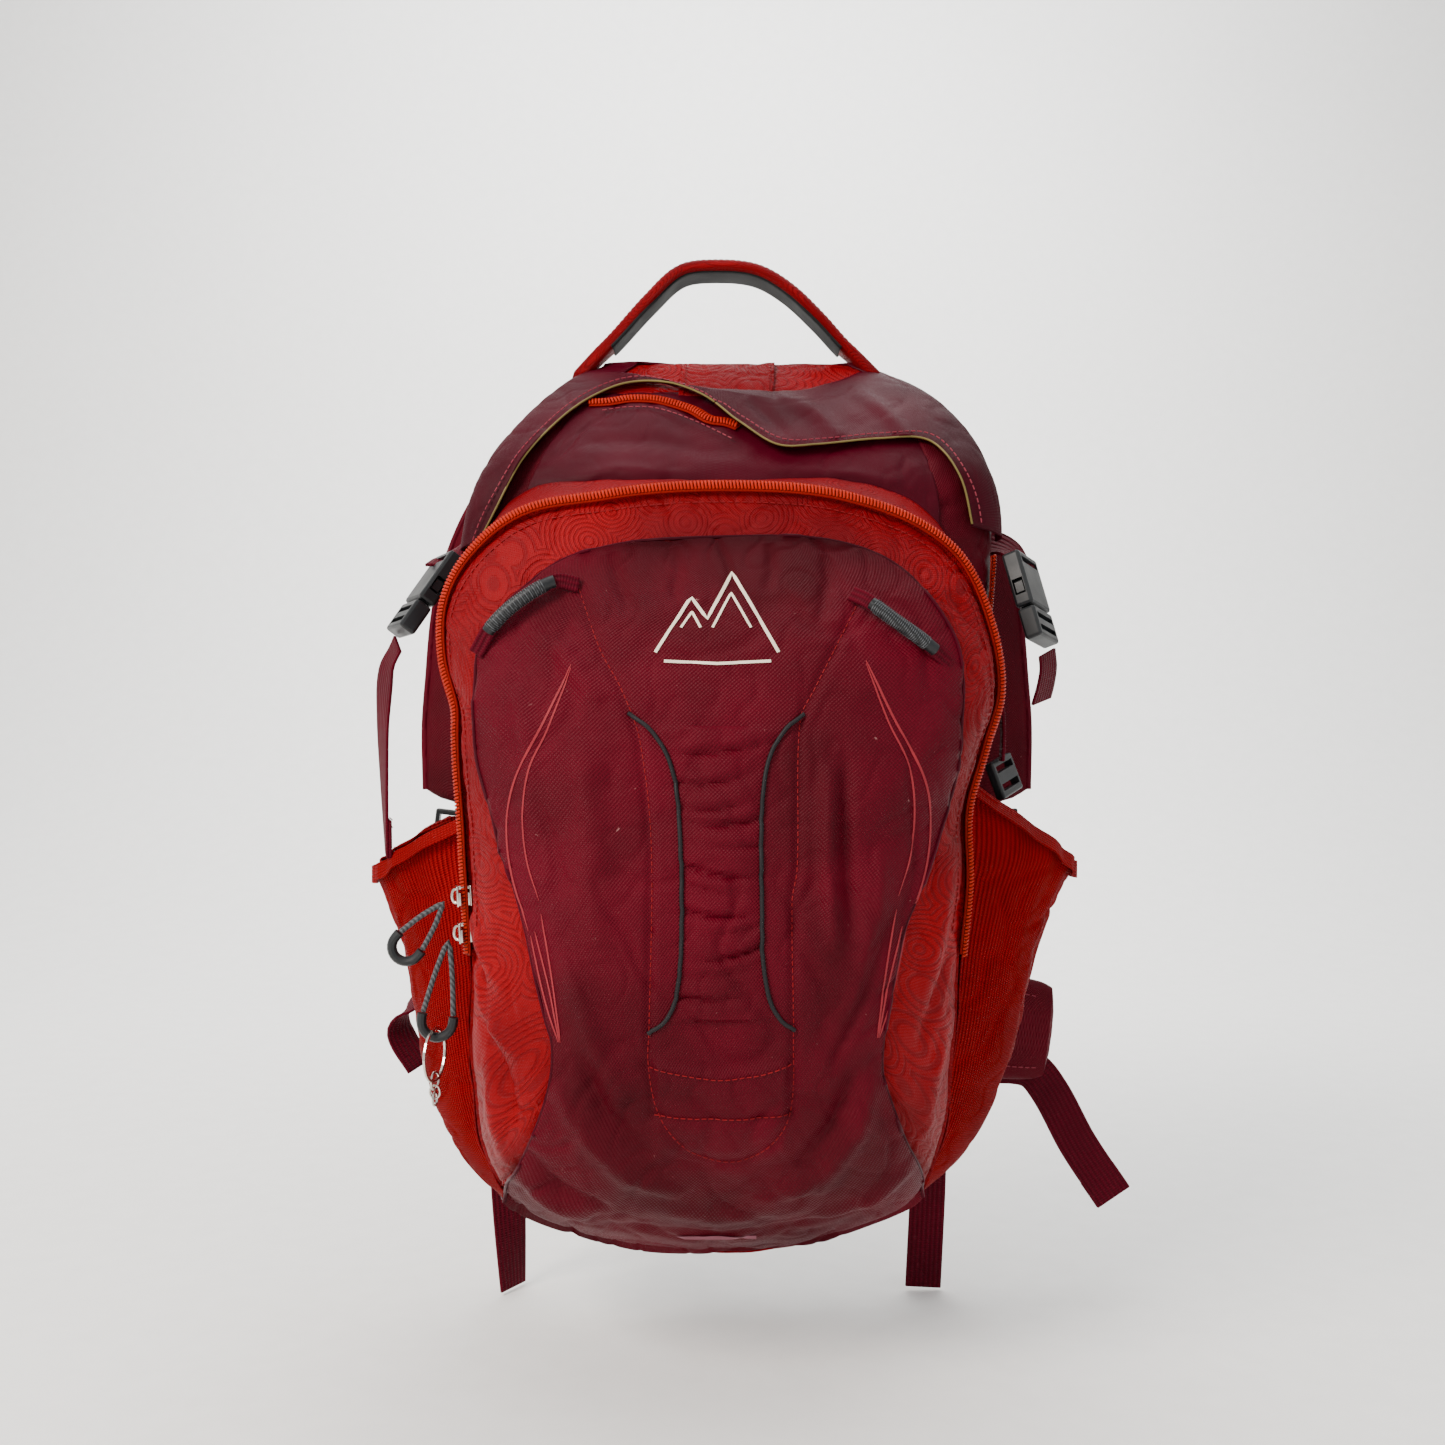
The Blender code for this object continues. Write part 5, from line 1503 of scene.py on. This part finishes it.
def make_shoulder_straps():
    wide = bpy.context.scene.day_pack.webbing_width
    for side, way, bow in (("left", -1, 0.020), ("right", 1, 0.030)):
        path = [
            (way * 0.046, 0.0330, -0.080), (way * (0.058 + bow), 0.0345, -0.094),
            (way * (0.091 + bow), 0.0360, -0.125), (way * (0.111 + bow), 0.0370, -0.170),
            (way * (0.119 + bow), 0.0370, -0.225), (way * (0.127 + bow), 0.0360, -0.290),
        ]
        width = ramp((0, 0.048), (0.4, 0.055), (0.8, 0.051), (1, 0.038))
        across = ((way * 0.62, 0, 0.78), (way * 0.99, 0, 0.10))
        body = "shoulder_strap_" + side
        foam, _, frames = padded_band(
            "strap_foam_" + side, path, across, width, 0.0088, burgundy_oxford(), (body,), 2.4, 130,
            wave=0.06,
        )
        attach(foam, body)
        for edge, flip in (("outer", 1), ("inner", -1)):
            run = [p + s * flip * float(width(i / 130)) * 0.5 for i, (p, s, _) in enumerate(frames)][3:-3]
            cable(f"strap_binding_{side}_{edge}", run, 0.0024, polyester_webbing(), body, (), 9)
        backward = [facing_way(out, 1, 1) for _, _, out in frames]
        rear = [p + out * 0.0062 for (p, _, _), out in zip(frames, backward)]
        tape("strap_rail_" + side, rear[16:-4], backward[16:-4], 0.0150, 0.0013, polyester_webbing(), body)
        foot = Vector((way * (0.1285 + bow), 0.0360, -0.3040))
        corner = Vector((way * 0.098, 0.0160, -0.484))
        lower, _, _ = strap(
            "lower_strap_" + side,
            [foot + Vector((0, -0.0060, -0.0150)), foot.lerp(corner, 0.35) + Vector((0, -0.0075, 0)),
             foot.lerp(corner, 0.7) + Vector((0, -0.003, 0)), corner],
            ((1, 0, way * 0.2), (1, 0, way * 0.3)), wide, THICK, None, ("lower_webbing_" + side,),
        )
        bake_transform(lower)
        twist = (1, 0, way * 0.1) if way > 0 else (0.55, 0.83, 0)
        strap(
            "strap_end_" + side,
            [(way * 0.119, 0.0275, -0.458), (way * 0.1185, 0.0280, -0.500), (way * 0.1155, 0.0275, -0.562)],
            ((1, 0, 0), twist), wide, THICK, "bag", ("strap_tail_" + side,),
        )
        clip = Vector((way * (0.088 + bow * 0.9), 0.0450, -0.1300))
        strap(
            "sternum_strap_" + side,
            [clip, clip + Vector((-way * 0.004, 0.001, -0.025)),
             clip + Vector((-way * 0.005, 0.001, -0.0480))],
            ((1, 0, 0), (1, 0, 0)), 0.0150, 0.0014, "sternum_half_" + side, ("sternum_webbing_" + side,), 16,
        )


def make_hip_belt():
    wide = bpy.context.scene.day_pack.webbing_width
    width = ramp((0, 0.060), (0.6, 0.060), (0.9, 0.056), (1, 0.048))
    for side, x0, x1 in (("right", 0.088, 0.190), ("left", -0.088, 0.018)):
        path = [(x0 + (x1 - x0) * t, 0.0350, -0.408 - 0.012 * t) for t in (0, 0.33, 0.66, 1)]
        body = "hip_wing_" + side
        foam, _, frames = padded_band(
            "wing_foam_" + side, path, ((0, 0, 1), (0, 0, 1)), width, 0.0110, burgundy_oxford(),
            (body,), 2.4, 100,
        )
        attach(foam, body)
        for face, flip in (("front", -1), ("rear", 1)):
            for edge, way in (("upper", 1), ("lower", -1)):
                run = [
                    p + Vector((0, flip * 0.0054, way * float(width(i / 100)) * 0.36))
                    for i, (p, _, _) in enumerate(frames)
                ][6:-6:5]
                name = f"wing_stitching_{side}_{face}_{edge}"
                stitches(name, run, pink_thread(), body, 0.0036, 0.00036)
    behind = 0.0420
    _, line, normals = strap(
        "hip_strap_right",
        [(0.108, behind, -0.4405), (0.150, behind, -0.4400), (0.178, behind, -0.4420),
         (0.190, behind, -0.4550), (0.2060, behind - 0.002, -0.4850), (0.2260, behind - 0.004, -0.5150)],
        ((0, 0, 1), (0.92, 0, 0.40)), 1.1 * wide, THICK, "hip_wing_right", ("hip_webbing_right",), 48,
    )
    end_hem("hip_hem_right", line, normals, 1.1 * wide, "hip_wing_right")
    strap(
        "hip_strap_left",
        [(-0.0850, behind + 0.0035, -0.4045), (-0.115, behind + 0.0025, -0.3950), (-0.1540, 0.0415, -0.3920),
         (-0.1780, 0.0405, -0.4080), (-0.1820, 0.0395, -0.4200), (-0.1700, 0.0375, -0.4400)],
        ((0, 0.15, 1), (0.5, 0.75, 0.4)), 0.9 * wide, THICK, "hip_wing_left", ("hip_webbing_left",), 48,
    )


# Camera, lights and floor


SWEEP_START, SWEEP_RADIUS = 0.9, 0.9  # where the floor begins to curve up behind the bag, and how gently


def make_stage():
    """A camera square to the front at the height of the bag's middle, soft lights and a pale floor."""
    scene = bpy.context.scene
    low, _ = cad_box
    bm = bmesh.new()
    bmesh.ops.create_grid(bm, x_segments=1, y_segments=120, size=4)
    for vert in bm.verts:
        turn = min(max(0, (vert.co.y - SWEEP_START) / SWEEP_RADIUS), math.pi / 2)
        if turn > 0:
            rest = vert.co.y - SWEEP_START - turn * SWEEP_RADIUS
            vert.co.y = SWEEP_START + SWEEP_RADIUS * math.sin(turn)
            vert.co.z = SWEEP_RADIUS * (1 - math.cos(turn)) + rest
    bmesh.ops.translate(bm, vec=(0, 0, low[2] - 0.0008), verts=bm.verts)
    mesh = bpy.data.meshes.new("floor")
    bm.to_mesh(mesh)
    bm.free()
    mesh.shade_smooth()
    floor = bpy.data.objects.new("floor", mesh)
    scene.collection.objects.link(floor)
    mesh.materials.append(plain("pale_matt_board", "F0EFEC", 0.9, worn="E9E8E5"))
    middle = (0, -0.04, -0.27)
    lights = (
        ("key_softbox", (-1.05, -1.05, 0.75), middle, 46, 0.7, "FFF6EE"),
        ("fill_softbox", (1.25, -1.05, 0.05), middle, 3, 1.4, "F2F5FF"),
        ("top_softbox", (0.1, 0.1, 1.25), middle, 14, 1.4, "FFFFFF"),
        ("rear_softbox", (0.4, 0.7, 1.5), middle, 12, 1.4, "FFFFFF"),
        ("backdrop_softbox", (0, 0.9, 0.95), (0, 1.9, 0.35), 40, 1.6, "FBFCFF"),
    )
    for name, place, target, power, size, colour in lights:
        lamp = bpy.data.lights.new(name, "AREA")
        lamp.energy, lamp.size = power, size
        lamp.color = hex_colour(colour)[:3]
        light = bpy.data.objects.new(name, lamp)
        scene.collection.objects.link(light)
        light.location = place
        light.rotation_euler = (Vector(target) - Vector(place)).to_track_quat("-Z", "Y").to_euler()
    world = bpy.data.worlds.new("pale_room")
    world.use_nodes = True
    world.node_tree.nodes["Background"].inputs["Color"].default_value = hex_colour("F4F5F6")
    world.node_tree.nodes["Background"].inputs["Strength"].default_value = 0.95
    scene.world = world
    data = bpy.data.cameras.new("front_camera")
    data.lens, data.sensor_width = 36.12, 36
    camera = bpy.data.objects.new("front_camera", data)
    camera.location = (0.0025, -0.79, -0.2438)
    camera.rotation_euler = (math.pi / 2, 0, 0)
    scene.collection.objects.link(camera)
    scene.camera = camera


# The add-on


class DayPackSizes(PropertyGroup):
    webbing_width: FloatProperty(
        name="Webbing width", description="Width of the adjusting webbing", default=0.020, unit="LENGTH",
    )
    fold_strength: FloatProperty(
        name="Fold strength", description="How deep the folds of the front panel are", default=1.0,
        subtype="FACTOR",
    )
    red_cloth: FloatVectorProperty(
        name="Red cloth", description="Colour of the embossed red nylon",
        default=hex_colour("8A000B"), size=4,
        subtype="COLOR", min=0, max=1,
    )
    burgundy_cloth: FloatVectorProperty(
        name="Burgundy cloth", description="Colour of the burgundy oxford nylon",
        default=hex_colour("5A0016"),
        size=4, subtype="COLOR", min=0, max=1,
    )


class DAYPACK_OT_stage(Operator):
    """The camera, lights and floor"""

    bl_idname = "daypack.stage"
    bl_label = "Stage"

    def execute(self, context):
        make_stage()
        return {"FINISHED"}


class DAYPACK_OT_front(Operator):
    """The front pocket's panels, seams and printing"""

    bl_idname = "daypack.front"
    bl_label = "Front Pocket"

    def execute(self, context):
        skin = make_front_panel()
        make_front_seams(skin)
        make_printing(skin)
        return {"FINISHED"}


class DAYPACK_OT_front_sides(Operator):
    """The band of cloth behind the front panel"""

    bl_idname = "daypack.front_sides"
    bl_label = "Front Gusset"

    def execute(self, context):
        make_front_gusset()
        return {"FINISHED"}


class DAYPACK_OT_front_zip(Operator):
    """The zip round the front pocket"""

    bl_idname = "daypack.front_zip"
    bl_label = "Front Zip"

    def execute(self, context):
        make_front_zip()
        return {"FINISHED"}


class DAYPACK_OT_main_bag(Operator):
    """The main bag's walls, hood, yoke and base"""

    bl_idname = "daypack.main_bag"
    bl_label = "Main Bag"

    def execute(self, context):
        make_main_bag()
        make_yoke_shoulders()
        return {"FINISHED"}


class DAYPACK_OT_main_zip(Operator):
    """The zip over the top of the bag"""

    bl_idname = "daypack.main_zip"
    bl_label = "Main Zip"

    def execute(self, context):
        make_main_zip()
        return {"FINISHED"}


class DAYPACK_OT_rain_flap(Operator):
    """The flap over the main zip, and the yoke's strip"""

    bl_idname = "daypack.rain_flap"
    bl_label = "Rain Flap"

    def execute(self, context):
        make_rain_flap()
        make_yoke_box()
        return {"FINISHED"}


class DAYPACK_OT_side_pockets(Operator):
    """The stretch pockets"""

    bl_idname = "daypack.side_pockets"
    bl_label = "Side Pockets"

    def execute(self, context):
        make_side_pockets()
        return {"FINISHED"}


class DAYPACK_OT_fittings(Operator):
    """Finishes of the moulded and cast fittings"""

    bl_idname = "daypack.fittings"
    bl_label = "Fittings"

    def execute(self, context):
        make_fittings()
        return {"FINISHED"}


class DAYPACK_OT_compression(Operator):
    """The side compression webbing"""

    bl_idname = "daypack.compression"
    bl_label = "Compression Straps"

    def execute(self, context):
        make_compression_straps()
        return {"FINISHED"}


class DAYPACK_OT_tool_loops(Operator):
    """The loops at the upper corners of the front"""

    bl_idname = "daypack.tool_loops"
    bl_label = "Tool Loops"

    def execute(self, context):
        make_tool_loops()
        return {"FINISHED"}


class DAYPACK_OT_sliders(Operator):
    """The sliders, the tab and the key chain"""

    bl_idname = "daypack.sliders"
    bl_label = "Zip Sliders"

    def execute(self, context):
        make_sliders()
        make_key_chain()
        return {"FINISHED"}


class DAYPACK_OT_handle(Operator):
    """The haul handle"""

    bl_idname = "daypack.handle"
    bl_label = "Handle"

    def execute(self, context):
        make_handle()
        return {"FINISHED"}


class DAYPACK_OT_back_pad(Operator):
    """The cushioned back"""

    bl_idname = "daypack.back_pad"
    bl_label = "Back Pad"

    def execute(self, context):
        make_back_pad()
        return {"FINISHED"}


class DAYPACK_OT_shoulder_straps(Operator):
    """The shoulder straps with their webbing"""

    bl_idname = "daypack.shoulder_straps"
    bl_label = "Shoulder Straps"

    def execute(self, context):
        make_shoulder_straps()
        return {"FINISHED"}


class DAYPACK_OT_hip_belt(Operator):
    """The hip wings with their webbing"""

    bl_idname = "daypack.hip_belt"
    bl_label = "Hip Belt"

    def execute(self, context):
        make_hip_belt()
        return {"FINISHED"}


OPERATORS = (
    DAYPACK_OT_stage,
    DAYPACK_OT_front,
    DAYPACK_OT_front_sides,
    DAYPACK_OT_front_zip,
    DAYPACK_OT_main_bag,
    DAYPACK_OT_main_zip,
    DAYPACK_OT_rain_flap,
    DAYPACK_OT_side_pockets,
    DAYPACK_OT_fittings,
    DAYPACK_OT_compression,
    DAYPACK_OT_tool_loops,
    DAYPACK_OT_sliders,
    DAYPACK_OT_handle,
    DAYPACK_OT_back_pad,
    DAYPACK_OT_shoulder_straps,
    DAYPACK_OT_hip_belt,
)


class DAYPACK_PT_sidebar(Panel):
    """Lists the sizes, the colours and the pieces."""

    bl_label = "Day Pack"
    bl_space_type = "VIEW_3D"
    bl_region_type = "UI"
    bl_category = "Day Pack"

    def draw(self, context):
        for name in DayPackSizes.__annotations__:
            self.layout.prop(context.scene.day_pack, name)
        for operator in OPERATORS:
            self.layout.operator(operator.bl_idname)


def register():
    for item in (DayPackSizes, *OPERATORS, DAYPACK_PT_sidebar):
        bpy.utils.register_class(item)
    bpy.types.Scene.day_pack = PointerProperty(type=DayPackSizes)


def unregister():
    del bpy.types.Scene.day_pack
    for item in (DAYPACK_PT_sidebar, *reversed(OPERATORS), DayPackSizes):
        bpy.utils.unregister_class(item)


def main():
    register()
    for operator in OPERATORS:
        group, name = operator.bl_idname.split(".")
        getattr(getattr(bpy.ops, group), name)()


if __name__ == "__main__":
    main()
